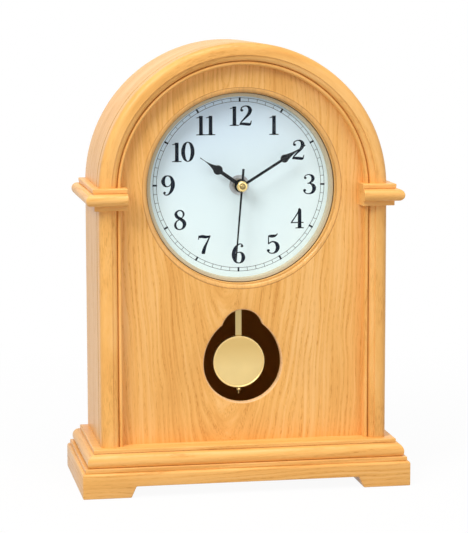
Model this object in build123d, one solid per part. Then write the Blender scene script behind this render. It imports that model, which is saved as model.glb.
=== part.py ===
from build123d import *
import os

# A desk pendulum clock: an arched oak case on a moulded base, a quartz movement and a short pendulum.
# Millimetres, +Z up, the dial faces -Y, and the origin is on the table under the middle of the base.

# Overall sizes
PLINTH_WIDTH = 238.0
PLINTH_DEPTH = 110.0
CASE_INSET = 15.0
DIAL_TO_WINDOW = 15.2
DIAL_RISE = 1.5

# Plinth board: its underside is cut away between the two long feet
PLINTH_HEIGHT = 18.0
PLINTH_ROUND = 2.0
CORNER_BEVEL = 1.0
FOOT_HEIGHT = 8.0
FOOT_WIDTH = 34.5
FOOT_FLARE = 3.6

# Base board: a small step, an ovolo and a top fillet run round all four sides
STEP_HEIGHT = 3.0
STEP_INSET = 2.1
STEP_JOINT = 0.4
OVOLO_HEIGHT = 9.4
OVOLO_INSET = 3.8
OVOLO_FOOT_INSET = 4.6
OVOLO_SWELL_HEIGHT = 3.2
OVOLO_TOP_INSET = 8.4
TOP_FILLET_HEIGHT = 3.0
TOP_FILLET_INSET = 8.9
TOP_FILLET_ROUND = 0.8

# Case shell, floor and back rebate
FRAME_SETBACK = 13.5
BACK_SETBACK = 7.5
SIDE_THICKNESS = 10.0
FLOOR_THICKNESS = 8.0
DOOR_LEDGE = 4.0

# Front frame: the moulding of the arch and of the two stiles
FRAME_WIDTH = 16.0
FRAME_EDGE_ROUND = 5.2
FACE_WIDTH = 3.5
FRAME_OVOLO_RADIUS = 4.1
BEAD_RISE = 1.2
PANEL_RECESS = 10.5
PANEL_REBATE = 6.0

# Impost blocks, where the arch springs
IMPOST_DROP = 12.6
NECK_HEIGHT = 3.4
NECK_REACH = 3.9
TORUS_HEIGHT = 8.6
TORUS_REACH = 10.2
QUIRK_HEIGHT = 0.6
QUIRK_REACH = 4.3
IMPOST_FILLET_HEIGHT = 3.0
IMPOST_FILLET_REACH = 5.0
IMPOST_FILLET_ROUND = 0.7
IMPOST_INNER_REACH = 3.4

# Front panel and its keyhole window for the pendulum
PANEL_THICKNESS = 5.5
WINDOW_RADIUS = 28.4
WINDOW_HEIGHT = 89.6
FLANK_RADIUS = 35.5
LOBE_RADIUS = 15.2
LOBE_RISE = 23.9
NOTCH_ROUND = 1.8
WINDOW_EDGE = 1.3

# Turned dial ring, glued in the panel's round hole
RING_MARGIN = 31.9
RING_WALL = 2.9
RING_DROP = 1.5
RING_SWELL = 0.5
RING_LIP_THICKNESS = 0.8
GLASS_SEAT_WIDTH = 1.0

# Domed glass, its spacer and the dial plate
GLASS_THICKNESS = 1.8
GLASS_DOME = 7.8
GLASS_SEAT_GAP = 0.2
SPACER_WALL = 1.7
SPACER_STEP = 3.1
SPACER_LEDGE = 3.0
DIAL_RECESS = 14.0
DIAL_THICKNESS = 1.0
DIAL_MARGIN = 3.9
DIAL_CORNER = 24.0

# Centre fixing of the movement
BUSH_RADIUS = 4.0
BUSH_REACH = 6.0
BUSH_ROOT = 5.2
RUBBER_THICKNESS = 1.0
RUBBER_WIDTH = 14.0
WASHER_RADIUS = 7.2
WASHER_THICKNESS = 0.7
NUT_ACROSS_FLATS = 10.4
NUT_THICKNESS = 2.6

# Hour, minute and second arbors, one inside the other
HOUR_TUBE_RADIUS = 2.6
MINUTE_TUBE_RADIUS = 1.6
SECOND_ARBOR_RADIUS = 0.6
ARBOR_FIT = 0.06
ARBOR_STEP = 0.8
WELL_CLEARANCE = 0.6

# Hands: distances are from the dial's face, lengths from the centre
HAND_THICKNESS = 0.5
HAND_FIT = 0.05
HOUR_STANDOFF = 7.9
HOUR_LENGTH = 35.9
HOUR_BULB_PLACE = 20.4
HOUR_BULB_RADIUS = 3.4
HOUR_STEM_WIDTH = 2.6
HOUR_HUB_RADIUS = 4.8
MINUTE_STANDOFF = 10.4
MINUTE_CLEARANCE = 14.8
MINUTE_BULB_SHARE = 0.673
MINUTE_BULB_RADIUS = 2.9
MINUTE_STEM_WIDTH = 1.9
MINUTE_HUB_RADIUS = 4.2
TIP_WIDTH = 0.8
HAND_WAIST = 1.9
HAND_WAIST_SHARE = 0.4
SECOND_STANDOFF = 11.7
SECOND_CLEARANCE = 15.7
SECOND_TAIL = 12.5
SECOND_TAIL_WIDTH = 1.7
SECOND_TIP_WIDTH = 0.9
SECOND_HUB_RADIUS = 2.2
CAP_RADIUS = 3.9
CAP_HEIGHT = 2.6
CAP_RIM = 0.7
CAP_TOP_RADIUS = 1.8
MINUTE_HAND_ANGLE = 58.3
SECOND_HAND_ANGLE = 184.8
LAST_HOUR_ANGLE = 300.0
HOUR_HAND_SHARE = 1 / 12

# Quartz movement: front housing and rear cover
BAY_WALL = 1.95
MOVEMENT_CORNER = 2.5
FRONT_HOUSING_DEPTH = 9.0
REAR_COVER_DEPTH = 8.0
COVER_CHAMFER = 0.5
HOUSING_WALL = 2.0
DRIVE_WIDTH = 40.0
DRIVE_DROP = 36.0

# Battery cell and its bay
CELL_RADIUS = 7.1
CELL_LENGTH = 49.5
CELL_NUB_RADIUS = 2.7
CELL_NUB_LENGTH = 1.0
CELL_RISE = 15.0
CELL_CLEARANCE = 0.4
CONTACT_THICKNESS = 0.4
CONTACT_SIZE = 9.0

# Setting knob on the rear cover
KNOB_OFFSET = 14.0
KNOB_RADIUS = 5.5
KNOB_HEIGHT = 6.0
KNOB_GAP = 0.4
KNOB_SHAFT_RADIUS = 1.5
KNOB_SHAFT_LENGTH = 5.0

# Pendulum hanger inside the lower housing
PIVOT_DROP = 36.0
PIVOT_RADIUS = 1.0
PIVOT_FIT = 0.05
HANGER_THICKNESS = 2.0
HANGER_WIDTH = 6.0
HANGER_REACH = 5.0
HANGER_GAP = 0.8
HUB_GAP = 0.4
HANGER_TAPER = 1.0
SLOT_HALF_WIDTH = 9.0
PEG_RADIUS = 1.0
PEG_HEAD_RADIUS = 1.6
PEG_HEAD_THICKNESS = 0.6

# Pendulum rod, bob and rating nut
ROD_WIDTH = 4.5
ROD_THICKNESS = 0.8
ROD_GAP = 0.4
ROD_HEAD_WIDTH = 6.4
KEYHOLE_DROP = 3.4
KEYHOLE_CLEARANCE = 0.2
BOB_HEIGHT = 88.0
BOB_RADIUS = 19.2
BOB_SHEET = 0.8
BOB_RIM_WIDTH = 1.4
BOB_RIM_RISE = 0.5
BOB_SIDE_GAP = 0.5
BOB_BACK_GAP = 0.15
THREAD_RADIUS = 0.9
THREAD_OVERLAP = 5.0
THREAD_REACH = 4.6
NUT_GAP = 0.3
RATING_NUT_RADIUS = 2.1
RATING_NUT_HEIGHT = 1.8

# Back door, its hinges, knob and catch
DOOR_THICKNESS = 4.0
DOOR_GAP = 0.5
DOOR_SEAT_GAP = 0.2
DOOR_CHAMFER = 0.6
HINGE_LENGTH = 22.0
HINGE_LEAF_WIDTH = 7.5
HINGE_THICKNESS = 0.8
KNUCKLE_RADIUS = 1.6
HINGE_PIN_RADIUS = 0.75
HINGE_PIN_FIT = 0.05
KNUCKLE_GAP = 0.15
LOWER_HINGE_HEIGHT = 72.0
UPPER_HINGE_DROP = 30.0
PULL_HEIGHT = 130.0
PULL_INSET = 14.0
PULL_RADIUS = 5.0
PULL_NECK_RADIUS = 2.4
PULL_BEVEL = 1.2
PULL_PROJECTION = 7.0
PULL_SPIGOT_RADIUS = 1.5
MAGNET_WIDTH = 8.0
MAGNET_LENGTH = 20.0
MAGNET_DEPTH = 9.5
MAGNET_GAP = 0.3
STRIKE_THICKNESS = 0.6

# Screws that hold the base to the case floor
BASE_SCREW_RADIUS = 2.0
BASE_SCREW_HEAD_RADIUS = 3.8
BASE_SCREW_HEAD = 2.4
BASE_SCREW_BITE = 6.0
BASE_SCREW_INSET = 29.0

# General fits: joints of one body, and how far a cut runs past its face
JOINT_FIT = 0.15
SCREW_FIT = 0.05
OVERRUN = 1.0

# How many flat bands a curve gets on a turned piece
BAND_COUNT = 3

# Places worked out from the sizes, front to back
front_y = -PLINTH_DEPTH / 2
frame_y = front_y + FRAME_SETBACK
panel_y = frame_y + PANEL_RECESS
panel_back_y = panel_y + PANEL_THICKNESS
case_back_y = -front_y - BACK_SETBACK
door_y = case_back_y - DOOR_THICKNESS
ledge_y = door_y - DOOR_SEAT_GAP
dial_y = panel_y + DIAL_RECESS
dial_back_y = dial_y + DIAL_THICKNESS
housing_y = dial_back_y + RUBBER_THICKNESS
cover_y = housing_y + FRONT_HOUSING_DEPTH
movement_back_y = cover_y + REAR_COVER_DEPTH

# Places worked out from the sizes, bottom to top and centre to side
half_case = PLINTH_WIDTH / 2 - CASE_INSET
inner_half = half_case - SIDE_THICKNESS
panel_half = half_case - FRAME_WIDTH + PANEL_REBATE
sight_half = half_case - FRAME_WIDTH
base_top = PLINTH_HEIGHT + STEP_HEIGHT + OVOLO_HEIGHT + TOP_FILLET_HEIGHT
ring_radius = half_case - RING_MARGIN
ring_bore = ring_radius - RING_WALL
spring_z = WINDOW_HEIGHT + LOBE_RISE + LOBE_RADIUS + DIAL_TO_WINDOW + ring_radius
dial_z = spring_z + DIAL_RISE
impost_bottom = spring_z - IMPOST_DROP
impost_top = impost_bottom + NECK_HEIGHT + TORUS_HEIGHT + QUIRK_HEIGHT + IMPOST_FILLET_HEIGHT
channel_half = PLINTH_WIDTH / 2 - FOOT_WIDTH

# Movement and pendulum places
glass_seat_y = panel_y + RING_DROP + RING_LIP_THICKNESS
glass_rim_y = glass_seat_y + GLASS_SEAT_GAP
glass_back_y = glass_rim_y + GLASS_THICKNESS
glass_radius = ring_bore + GLASS_SEAT_WIDTH - JOINT_FIT
well_end_y = cover_y
bay_half = CELL_LENGTH / 2 + CELL_NUB_LENGTH / 2 + CELL_CLEARANCE + CONTACT_THICKNESS
movement_half = bay_half + BAY_WALL
cell_z = dial_z + CELL_RISE
cell_y = movement_back_y - CELL_CLEARANCE - CELL_RADIUS
knob_z = dial_z - KNOB_OFFSET
pivot_z = dial_z - PIVOT_DROP
housing_bottom = dial_z - movement_half - DRIVE_DROP
peg_z = housing_bottom - HANGER_REACH
hanger_y = housing_y + HOUSING_WALL + HANGER_GAP
rod_y = hanger_y - ROD_GAP - ROD_THICKNESS
rod_back_y = hanger_y - ROD_GAP
bob_bottom = BOB_HEIGHT - BOB_RADIUS
nut_top = bob_bottom - NUT_GAP
hinge_x = inner_half + DOOR_LEDGE - DOOR_GAP / 2
hinge_y = case_back_y + KNUCKLE_RADIUS + KNUCKLE_GAP


def facing(y):
    """A plane across the clock at depth y: local x is X, local y is Z, and it looks towards the front."""
    return Plane(origin=(0, y, 0), x_dir=(1, 0, 0), z_dir=(0, -1, 0))


def sideways(x):
    """A plane along the clock at x: local x is Y and local y is Z."""
    return Plane(origin=(x, 0, 0), x_dir=(0, 1, 0), z_dir=(1, 0, 0))


def between(sketch, y_front, y_back):
    """A front-view sketch given thickness from y_front to y_back."""
    return extrude(facing(y_back) * sketch, y_back - y_front)


def block(x_low, x_high, y_low, y_high, z_low, z_high):
    """A plain block from its limits."""
    size = (x_high - x_low, y_high - y_low, z_high - z_low)
    centre = ((x_low + x_high) / 2, (y_low + y_high) / 2, (z_low + z_high) / 2)
    return Pos(*centre) * Box(*size)


def outline(points):
    """A face from its corner points."""
    return make_face(Polyline(*points, close=True))


def turned(face, z, x=0):
    """A turned piece: the face is drawn as radius against depth, and spun about the line through x, z."""
    spun = revolve(face, Axis.Y)
    return Pos(x, 0, z) * spun


def bands(arc, count):
    """Points along an arc, all but its last, so that a turned piece gets a few flat bands."""
    return [arc @ (i / count) for i in range(count)]


def dome(radius, rim_y, apex_y):
    """Half of a dome's section: an arc that is square to the axis at its apex."""
    return TangentArc((0, apex_y), (radius, rim_y), tangent=(1, 0))


def disc(radius, y_front, y_back, x=0, z=dial_z):
    """A round plate or rod that lies along Y."""
    return between(Pos(x, z) * Circle(radius), y_front, y_back)


def tube(radius, bore, y_front, y_back, x=0, z=dial_z):
    """A round tube that lies along Y."""
    return between(Pos(x, z) * (Circle(radius) - Circle(bore)), y_front, y_back)


def arch(half_width, bottom):
    """The front-view arch: upright sides and a half round head."""
    sides = Pos(0, (bottom + spring_z) / 2) * Rectangle(2 * half_width, spring_z - bottom)
    return sides + Pos(0, spring_z) * Circle(half_width)


def end_view(edges):
    """A board's end view, from the edges that enclose its right half."""
    half = make_face(edges)
    return half + mirror(half, about=Plane.YZ)


def four_sided(view, width, depth):
    """A board with the same moulding on all four sides, mitred at its corners."""
    along = extrude(facing(depth) * view(width / 2), 2 * depth)
    across = extrude(sideways(-width) * view(depth / 2), 2 * width)
    return along & across


# Base


def plinth_view(half):
    """The plinth board's end view, with its top edge rounded."""
    edge = Polyline(
        (0, 0),
        (half, 0),
        (half, PLINTH_HEIGHT - PLINTH_ROUND),
    )
    top = RadiusArc(
        (half, PLINTH_HEIGHT - PLINTH_ROUND),
        (half - PLINTH_ROUND, PLINTH_HEIGHT),
        -PLINTH_ROUND,
    )
    close = Polyline((half - PLINTH_ROUND, PLINTH_HEIGHT), (0, PLINTH_HEIGHT), (0, 0))
    return end_view([*edge.edges(), top, *close.edges()])


def foot_channel():
    """The space between the feet, narrower at its top, that runs through from front to back."""
    view = outline(
        [
            (-channel_half, -OVERRUN),
            (channel_half, -OVERRUN),
            (channel_half, 0),
            (channel_half - FOOT_FLARE, FOOT_HEIGHT),
            (FOOT_FLARE - channel_half, FOOT_HEIGHT),
            (-channel_half, 0),
        ]
    )
    return between(view, front_y - OVERRUN, OVERRUN - front_y)


def base_screw_places():
    """The two screw places under the base."""
    half_x = inner_half - BASE_SCREW_INSET
    return [Pos(x, (panel_back_y + ledge_y) / 2, 0) for x in (-half_x, half_x)]


def base_screw(grow):
    """One countersunk screw from the roof of the channel into the case floor, grown by a fit."""
    tip = base_top + BASE_SCREW_BITE + grow
    points = [
        (0, 0, FOOT_HEIGHT),
        (BASE_SCREW_HEAD_RADIUS + grow, 0, FOOT_HEIGHT),
        (BASE_SCREW_RADIUS + grow, 0, FOOT_HEIGHT + BASE_SCREW_HEAD),
        (BASE_SCREW_RADIUS + grow, 0, tip),
        (0, 0, tip),
    ]
    return revolve(outline(points), Axis.Z)


def base_screw_holes():
    """Clearance holes for the base screws."""
    return [place * base_screw(SCREW_FIT) for place in base_screw_places()]


def plinth():
    """The lowest board, with its two long feet."""
    board = four_sided(plinth_view, PLINTH_WIDTH, PLINTH_DEPTH)
    plan = chamfer(Rectangle(PLINTH_WIDTH, PLINTH_DEPTH).vertices(), CORNER_BEVEL)
    board = board & extrude(plan, PLINTH_HEIGHT)
    return board - foot_channel() - base_screw_holes()


def base_view(half):
    """The base board's end view: step, ovolo and top fillet."""
    step_top = PLINTH_HEIGHT + STEP_HEIGHT
    ovolo_top = step_top + OVOLO_HEIGHT
    lower = Polyline(
        (0, PLINTH_HEIGHT),
        (half - STEP_INSET - STEP_JOINT, PLINTH_HEIGHT),
        (half - STEP_INSET, PLINTH_HEIGHT + STEP_JOINT),
        (half - STEP_INSET, step_top),
        (half - OVOLO_FOOT_INSET, step_top),
    )
    ovolo = ThreePointArc(
        (half - OVOLO_FOOT_INSET, step_top),
        (half - OVOLO_INSET, step_top + OVOLO_SWELL_HEIGHT),
        (half - OVOLO_TOP_INSET, ovolo_top),
    )
    upper = Polyline(
        (half - OVOLO_TOP_INSET, ovolo_top),
        (half - TOP_FILLET_INSET, ovolo_top),
        (half - TOP_FILLET_INSET, base_top - TOP_FILLET_ROUND),
    )
    soft = RadiusArc(
        (half - TOP_FILLET_INSET, base_top - TOP_FILLET_ROUND),
        (half - TOP_FILLET_INSET - TOP_FILLET_ROUND, base_top),
        -TOP_FILLET_ROUND,
    )
    close = Polyline(
        (half - TOP_FILLET_INSET - TOP_FILLET_ROUND, base_top),
        (0, base_top),
        (0, PLINTH_HEIGHT),
    )
    return end_view([*lower.edges(), ovolo, *upper.edges(), soft, *close.edges()])


def base_board():
    """The moulded board that the case stands on."""
    return four_sided(base_view, PLINTH_WIDTH, PLINTH_DEPTH) - base_screw_holes()


def base_screws():
    """Two countersunk wood screws."""
    return [place * base_screw(0) for place in base_screw_places()]


# Case


def case_shell():
    """The two sides and the arched top in one band, rebated at the back for the door."""
    band = between(arch(half_case, base_top), panel_back_y, case_back_y)
    hollow = between(arch(inner_half, base_top - OVERRUN), panel_back_y - OVERRUN, case_back_y + OVERRUN)
    rebate = between(arch(inner_half + DOOR_LEDGE, base_top - OVERRUN), ledge_y, case_back_y + OVERRUN)
    return band - hollow - rebate


def case_floor():
    """The board inside the case that the base is screwed to."""
    floor = block(-inner_half, inner_half, panel_back_y, ledge_y, base_top, base_top + FLOOR_THICKNESS)
    return floor - base_screw_holes()


def frame_section():
    """The frame's moulding: s runs inwards from the outer face, and depth back from the front."""
    face_end = FRAME_EDGE_ROUND + FACE_WIDTH
    ovolo_end = face_end + FRAME_OVOLO_RADIUS
    thickness = PANEL_RECESS + PANEL_THICKNESS
    edge = RadiusArc((0, FRAME_EDGE_ROUND), (FRAME_EDGE_ROUND, 0), FRAME_EDGE_ROUND)
    ovolo = RadiusArc((face_end, 0), (ovolo_end, FRAME_OVOLO_RADIUS), FRAME_OVOLO_RADIUS)
    bead = ThreePointArc(
        (ovolo_end, FRAME_OVOLO_RADIUS),
        ((ovolo_end + FRAME_WIDTH) / 2, FRAME_OVOLO_RADIUS - BEAD_RISE),
        (FRAME_WIDTH, FRAME_OVOLO_RADIUS),
    )
    back = [
        (FRAME_WIDTH, FRAME_OVOLO_RADIUS),
        (FRAME_WIDTH, PANEL_RECESS),
        (FRAME_WIDTH - PANEL_REBATE, PANEL_RECESS),
        (FRAME_WIDTH - PANEL_REBATE, thickness),
        (0, thickness),
    ]
    front = [*bands(edge, BAND_COUNT), (FRAME_EDGE_ROUND, 0), *bands(ovolo, BAND_COUNT)]
    return outline([*front, *bands(bead, BAND_COUNT), *back])


def frame_plan(side):
    """The moulding seen from above, on the right (side 1) or on the left (side -1)."""
    section = Pos(half_case, frame_y) * mirror(frame_section(), about=Plane.YZ)
    return section if side > 0 else mirror(section, about=Plane.YZ)


def front_arch():
    """The moulded arch, which stands on the imposts."""
    ring = Pos(0, 0, spring_z) * revolve(frame_plan(1), Axis.Y)
    keep = block(-half_case, half_case, front_y, -front_y, impost_top, spring_z + 2 * half_case)
    return ring & keep


def stile(side):
    """A moulded stile between the base and the impost."""
    return extrude(Pos(0, 0, base_top) * frame_plan(side), impost_bottom - base_top)


def impost_edge(start, reach_from):
    """The impost's moulding, as edges from its bottom to its top, outwards from a face."""
    neck_top = impost_bottom + NECK_HEIGHT
    torus_top = neck_top + TORUS_HEIGHT
    torus_radius = TORUS_HEIGHT / 2
    torus_start = reach_from + TORUS_REACH - torus_radius
    fillet_bottom = torus_top + QUIRK_HEIGHT
    fillet_face = reach_from + IMPOST_FILLET_REACH
    lower = Polyline(
        (start, impost_bottom),
        (reach_from + NECK_REACH, impost_bottom),
        (reach_from + NECK_REACH, neck_top),
        (torus_start, neck_top),
    )
    torus = ThreePointArc(
        (torus_start, neck_top),
        (reach_from + TORUS_REACH, neck_top + torus_radius),
        (torus_start, torus_top),
    )
    upper = Polyline(
        (torus_start, torus_top),
        (reach_from + QUIRK_REACH, torus_top),
        (reach_from + QUIRK_REACH, fillet_bottom),
        (fillet_face, fillet_bottom),
        (fillet_face, impost_top - IMPOST_FILLET_ROUND),
    )
    soft = RadiusArc(
        (fillet_face, impost_top - IMPOST_FILLET_ROUND),
        (fillet_face - IMPOST_FILLET_ROUND, impost_top),
        -IMPOST_FILLET_ROUND,
    )
    close = Polyline(
        (fillet_face - IMPOST_FILLET_ROUND, impost_top),
        (start, impost_top),
        (start, impost_bottom),
    )
    return make_face([*lower.edges(), torus, *upper.edges(), soft, *close.edges()])


def impost(side):
    """The block that the arch stands on: its moulding turns the corner and runs back along the side."""
    inner_end = sight_half - IMPOST_INNER_REACH
    side_view = impost_edge(inner_end, half_case)
    front_view = mirror(impost_edge(-case_back_y, -frame_y), about=Plane.YZ)
    along = extrude(facing(case_back_y) * side_view, case_back_y - front_y)
    across = extrude(sideways(0) * front_view, PLINTH_WIDTH / 2)
    solid = along & across
    low = impost_bottom - OVERRUN
    high = impost_top + OVERRUN
    panel_space = block(0, panel_half, panel_y, panel_back_y, low, high)
    case_space = block(0, half_case, panel_back_y, case_back_y + OVERRUN, low, high)
    solid = solid - panel_space - case_space
    return solid if side > 0 else mirror(solid, about=Plane.YZ)


def window_view():
    """The keyhole window: a round foot, flatter flanks that close in above it, and a round lobe on top."""
    offset = FLANK_RADIUS - WINDOW_RADIUS
    flanks = (Pos(offset, 0) * Circle(FLANK_RADIUS)) & (Pos(-offset, 0) * Circle(FLANK_RADIUS))
    upper = flanks & Pos(0, FLANK_RADIUS) * Rectangle(2 * FLANK_RADIUS, 2 * FLANK_RADIUS)
    view = Circle(WINDOW_RADIUS) + upper + Pos(0, LOBE_RISE) * Circle(LOBE_RADIUS)
    notches = view.vertices().filter_by(lambda v: v.Y > LOBE_RISE)
    return Pos(0, WINDOW_HEIGHT) * fillet(notches, NOTCH_ROUND)


def front_panel():
    """The veneered panel, with the dial opening and the rounded keyhole window."""
    panel = between(arch(panel_half - JOINT_FIT, base_top), panel_y, panel_back_y)
    panel -= between(window_view(), panel_y - OVERRUN, panel_back_y + OVERRUN)
    front = panel.faces().sort_by(Axis.Y)[0]
    panel = chamfer(front.inner_wires()[0].edges(), WINDOW_EDGE)
    return panel - disc(ring_radius + JOINT_FIT, panel_y - OVERRUN, panel_back_y + OVERRUN, 0, spring_z)


# Dial


def dial_ring():
    """The turned ring round the dial: its front rounds inward to a lip that the glass sits behind."""
    seat_radius = ring_bore + GLASS_SEAT_WIDTH
    rounding = ThreePointArc(
        (ring_radius, panel_y),
        ((ring_radius + ring_bore) / 2, panel_y + RING_DROP / 2 - RING_SWELL),
        (ring_bore, panel_y + RING_DROP),
    )
    section = [
        *bands(rounding, BAND_COUNT),
        (ring_bore, panel_y + RING_DROP),
        (ring_bore, glass_seat_y),
        (seat_radius, glass_seat_y),
        (seat_radius, dial_y),
        (ring_radius, dial_y),
    ]
    return turned(outline(section), spring_z)


def dial_glass():
    """The domed glass that covers the hands, held between the ring's lip and the spacer."""
    front = dome(glass_radius, glass_rim_y, glass_rim_y - GLASS_DOME)
    back = dome(glass_radius, glass_back_y, glass_back_y - GLASS_DOME)
    outer = [*bands(front, BAND_COUNT), (glass_radius, glass_rim_y)]
    inner = [*bands(back, BAND_COUNT), (glass_radius, glass_back_y)]
    return turned(outline([*outer, *reversed(inner)]), spring_z)


def glass_spacer():
    """The ring behind the glass that holds it against its lip, with a pale ledge round the dial."""
    wall = glass_radius - SPACER_WALL
    ledge_face = glass_back_y + SPACER_STEP
    section = [
        (glass_radius, glass_back_y),
        (wall, glass_back_y),
        (wall, ledge_face),
        (wall - SPACER_LEDGE, ledge_face),
        (wall - SPACER_LEDGE, dial_y),
        (glass_radius, dial_y),
    ]
    return turned(outline(section), spring_z)


def dial_plate():
    """The dial plate, square with cut corners behind the ring. Its figures are print, without thickness."""
    side = 2 * (ring_radius + DIAL_MARGIN)
    view = chamfer(Rectangle(side, side).vertices(), DIAL_CORNER) - Circle(BUSH_RADIUS + JOINT_FIT)
    return between(Pos(0, dial_z) * view, dial_y, dial_back_y)


# Centre fixing


def bush():
    """The threaded bush that comes through the dial from the movement."""
    return tube(BUSH_RADIUS, HOUR_TUBE_RADIUS + ARBOR_FIT, dial_y - BUSH_REACH, housing_y + BUSH_ROOT)


def rubber_washer():
    """The soft square washer between the dial plate and the movement."""
    view = Rectangle(RUBBER_WIDTH, RUBBER_WIDTH) - Circle(BUSH_RADIUS + JOINT_FIT)
    return between(Pos(0, dial_z) * view, dial_back_y, housing_y)


def bush_washer():
    """The flat washer on the dial's face."""
    return tube(WASHER_RADIUS, BUSH_RADIUS + JOINT_FIT, dial_y - WASHER_THICKNESS, dial_y)


def bush_nut():
    """The hexagon nut on the bush."""
    back = dial_y - WASHER_THICKNESS
    view = RegularPolygon(NUT_ACROSS_FLATS / 2, 6, major_radius=False) - Circle(BUSH_RADIUS + JOINT_FIT)
    return between(Pos(0, dial_z) * view, back - NUT_THICKNESS, back)


# Hands


def pear_blade(length, bulb_place, bulb_radius, stem_width):
    """A hand's blade that points up: a thin stem, a pear shaped swelling and a fine tapered tip."""
    waist = bulb_place + (length - bulb_place) * HAND_WAIST_SHARE
    stem = Pos(0, bulb_place / 2) * Rectangle(stem_width, bulb_place)
    right = ThreePointArc((bulb_radius, bulb_place), (HAND_WAIST / 2, waist), (TIP_WIDTH / 2, length))
    left = mirror(right, about=Plane.YZ)
    tip = Line((TIP_WIDTH / 2, length), (-TIP_WIDTH / 2, length))
    root = Line((-bulb_radius, bulb_place), (bulb_radius, bulb_place))
    return stem + Pos(0, bulb_place) * Circle(bulb_radius) + make_face([right, tip, left, root])


def set_hand(view, angle, standoff, bore):
    """A hand's view turned clockwise to its place, with its hole, and given thickness."""
    back = dial_y - standoff
    placed = Pos(0, dial_z) * Rot(0, 0, -angle) * (view - Circle(bore))
    return between(placed, back - HAND_THICKNESS, back)


def hour_hand():
    """The short hand, pressed on the hour tube."""
    blade = pear_blade(HOUR_LENGTH, HOUR_BULB_PLACE, HOUR_BULB_RADIUS, HOUR_STEM_WIDTH)
    angle = LAST_HOUR_ANGLE + MINUTE_HAND_ANGLE * HOUR_HAND_SHARE
    return set_hand(blade + Circle(HOUR_HUB_RADIUS), angle, HOUR_STANDOFF, HOUR_TUBE_RADIUS + HAND_FIT)


def minute_hand():
    """The long hand, pressed on the minute tube."""
    length = ring_bore - MINUTE_CLEARANCE
    blade = pear_blade(length, length * MINUTE_BULB_SHARE, MINUTE_BULB_RADIUS, MINUTE_STEM_WIDTH)
    view = blade + Circle(MINUTE_HUB_RADIUS)
    return set_hand(view, MINUTE_HAND_ANGLE, MINUTE_STANDOFF, MINUTE_TUBE_RADIUS + HAND_FIT)


def second_hand():
    """The thin needle with its tapered tail."""
    length = ring_bore - SECOND_CLEARANCE
    needle = outline(
        [
            (-SECOND_TAIL_WIDTH / 2, -SECOND_TAIL),
            (SECOND_TAIL_WIDTH / 2, -SECOND_TAIL),
            (SECOND_TIP_WIDTH / 2, length),
            (-SECOND_TIP_WIDTH / 2, length),
        ]
    )
    view = needle + Circle(SECOND_HUB_RADIUS)
    return set_hand(view, SECOND_HAND_ANGLE, SECOND_STANDOFF, SECOND_ARBOR_RADIUS + HAND_FIT)


def hour_tube():
    """The hour tube, from inside the movement to the hour hand."""
    bore = MINUTE_TUBE_RADIUS + ARBOR_FIT
    end = housing_y + BUSH_ROOT + ARBOR_STEP
    return tube(HOUR_TUBE_RADIUS, bore, dial_y - HOUR_STANDOFF - HAND_THICKNESS, end)


def minute_tube():
    """The minute tube, from inside the movement to the minute hand."""
    bore = SECOND_ARBOR_RADIUS + ARBOR_FIT
    end = housing_y + BUSH_ROOT + 2 * ARBOR_STEP
    return tube(MINUTE_TUBE_RADIUS, bore, dial_y - MINUTE_STANDOFF - HAND_THICKNESS, end)


def second_arbor():
    """The second hand's arbor."""
    end = housing_y + BUSH_ROOT + 3 * ARBOR_STEP
    return disc(SECOND_ARBOR_RADIUS, dial_y - SECOND_STANDOFF - HAND_THICKNESS, end)


def second_cap():
    """The domed brass cap on the second hand's hub."""
    back = dial_y - SECOND_STANDOFF - HAND_THICKNESS
    section = [
        (0, back - CAP_HEIGHT),
        (CAP_TOP_RADIUS, back - CAP_HEIGHT),
        (CAP_RADIUS, back - CAP_RIM),
        (CAP_RADIUS, back),
        (0, back),
    ]
    return turned(outline(section), dial_z)


# Movement


def movement_view():
    """The movement's outline from the front: a square box and the narrower pendulum drive below it."""
    drive_height = movement_half + DRIVE_DROP
    box = Pos(0, dial_z) * Rectangle(2 * movement_half, 2 * movement_half)
    view = box + Pos(0, housing_bottom + drive_height / 2) * Rectangle(DRIVE_WIDTH, drive_height)
    return chamfer(view.vertices(), MOVEMENT_CORNER)


def cell_bay():
    """The battery's space: a half round trough that opens to the back."""
    radius = CELL_RADIUS + CELL_CLEARANCE
    trough = Pos(0, cell_y, cell_z) * Rot(0, 90, 0) * Cylinder(radius, 2 * bay_half)
    back = movement_back_y + OVERRUN
    return trough + block(-bay_half, bay_half, cell_y, back, cell_z - radius, cell_z + radius)


def pivot_pin_space(fit):
    """The pendulum pivot's pin, grown by a fit."""
    front = housing_y + HOUSING_WALL / 2
    back = cover_y + HOUSING_WALL
    return disc(PIVOT_RADIUS + fit, front, back, 0, pivot_z)


def front_housing():
    """The movement's front half, with the arbor well and the slot that the hanger swings in."""
    body = between(movement_view(), housing_y, cover_y)
    flange_y = housing_y + HOUSING_WALL
    body -= disc(BUSH_RADIUS, housing_y - OVERRUN, housing_y + BUSH_ROOT)
    body -= disc(HOUR_TUBE_RADIUS + WELL_CLEARANCE, flange_y, well_end_y + OVERRUN)
    slot_top = pivot_z + HANGER_WIDTH / 2 + HANGER_GAP
    body -= block(
        -SLOT_HALF_WIDTH, SLOT_HALF_WIDTH, flange_y, cover_y + OVERRUN, housing_bottom - OVERRUN, slot_top
    )
    body -= pivot_pin_space(SCREW_FIT)
    return body - cell_bay()


def rear_cover():
    """The movement's rear half, with the mouth of the battery bay and the knob's bearing."""
    body = between(movement_view(), cover_y, movement_back_y)
    rim = body.faces().sort_by(Axis.Y)[-1].edges()
    body = chamfer(rim, COVER_CHAMFER)
    body -= disc(
        KNOB_SHAFT_RADIUS + ARBOR_FIT,
        movement_back_y - KNOB_SHAFT_LENGTH - KNOB_GAP,
        movement_back_y + OVERRUN,
        KNOB_OFFSET,
        knob_z,
    )
    return body - cell_bay() - pivot_pin_space(SCREW_FIT)


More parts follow.
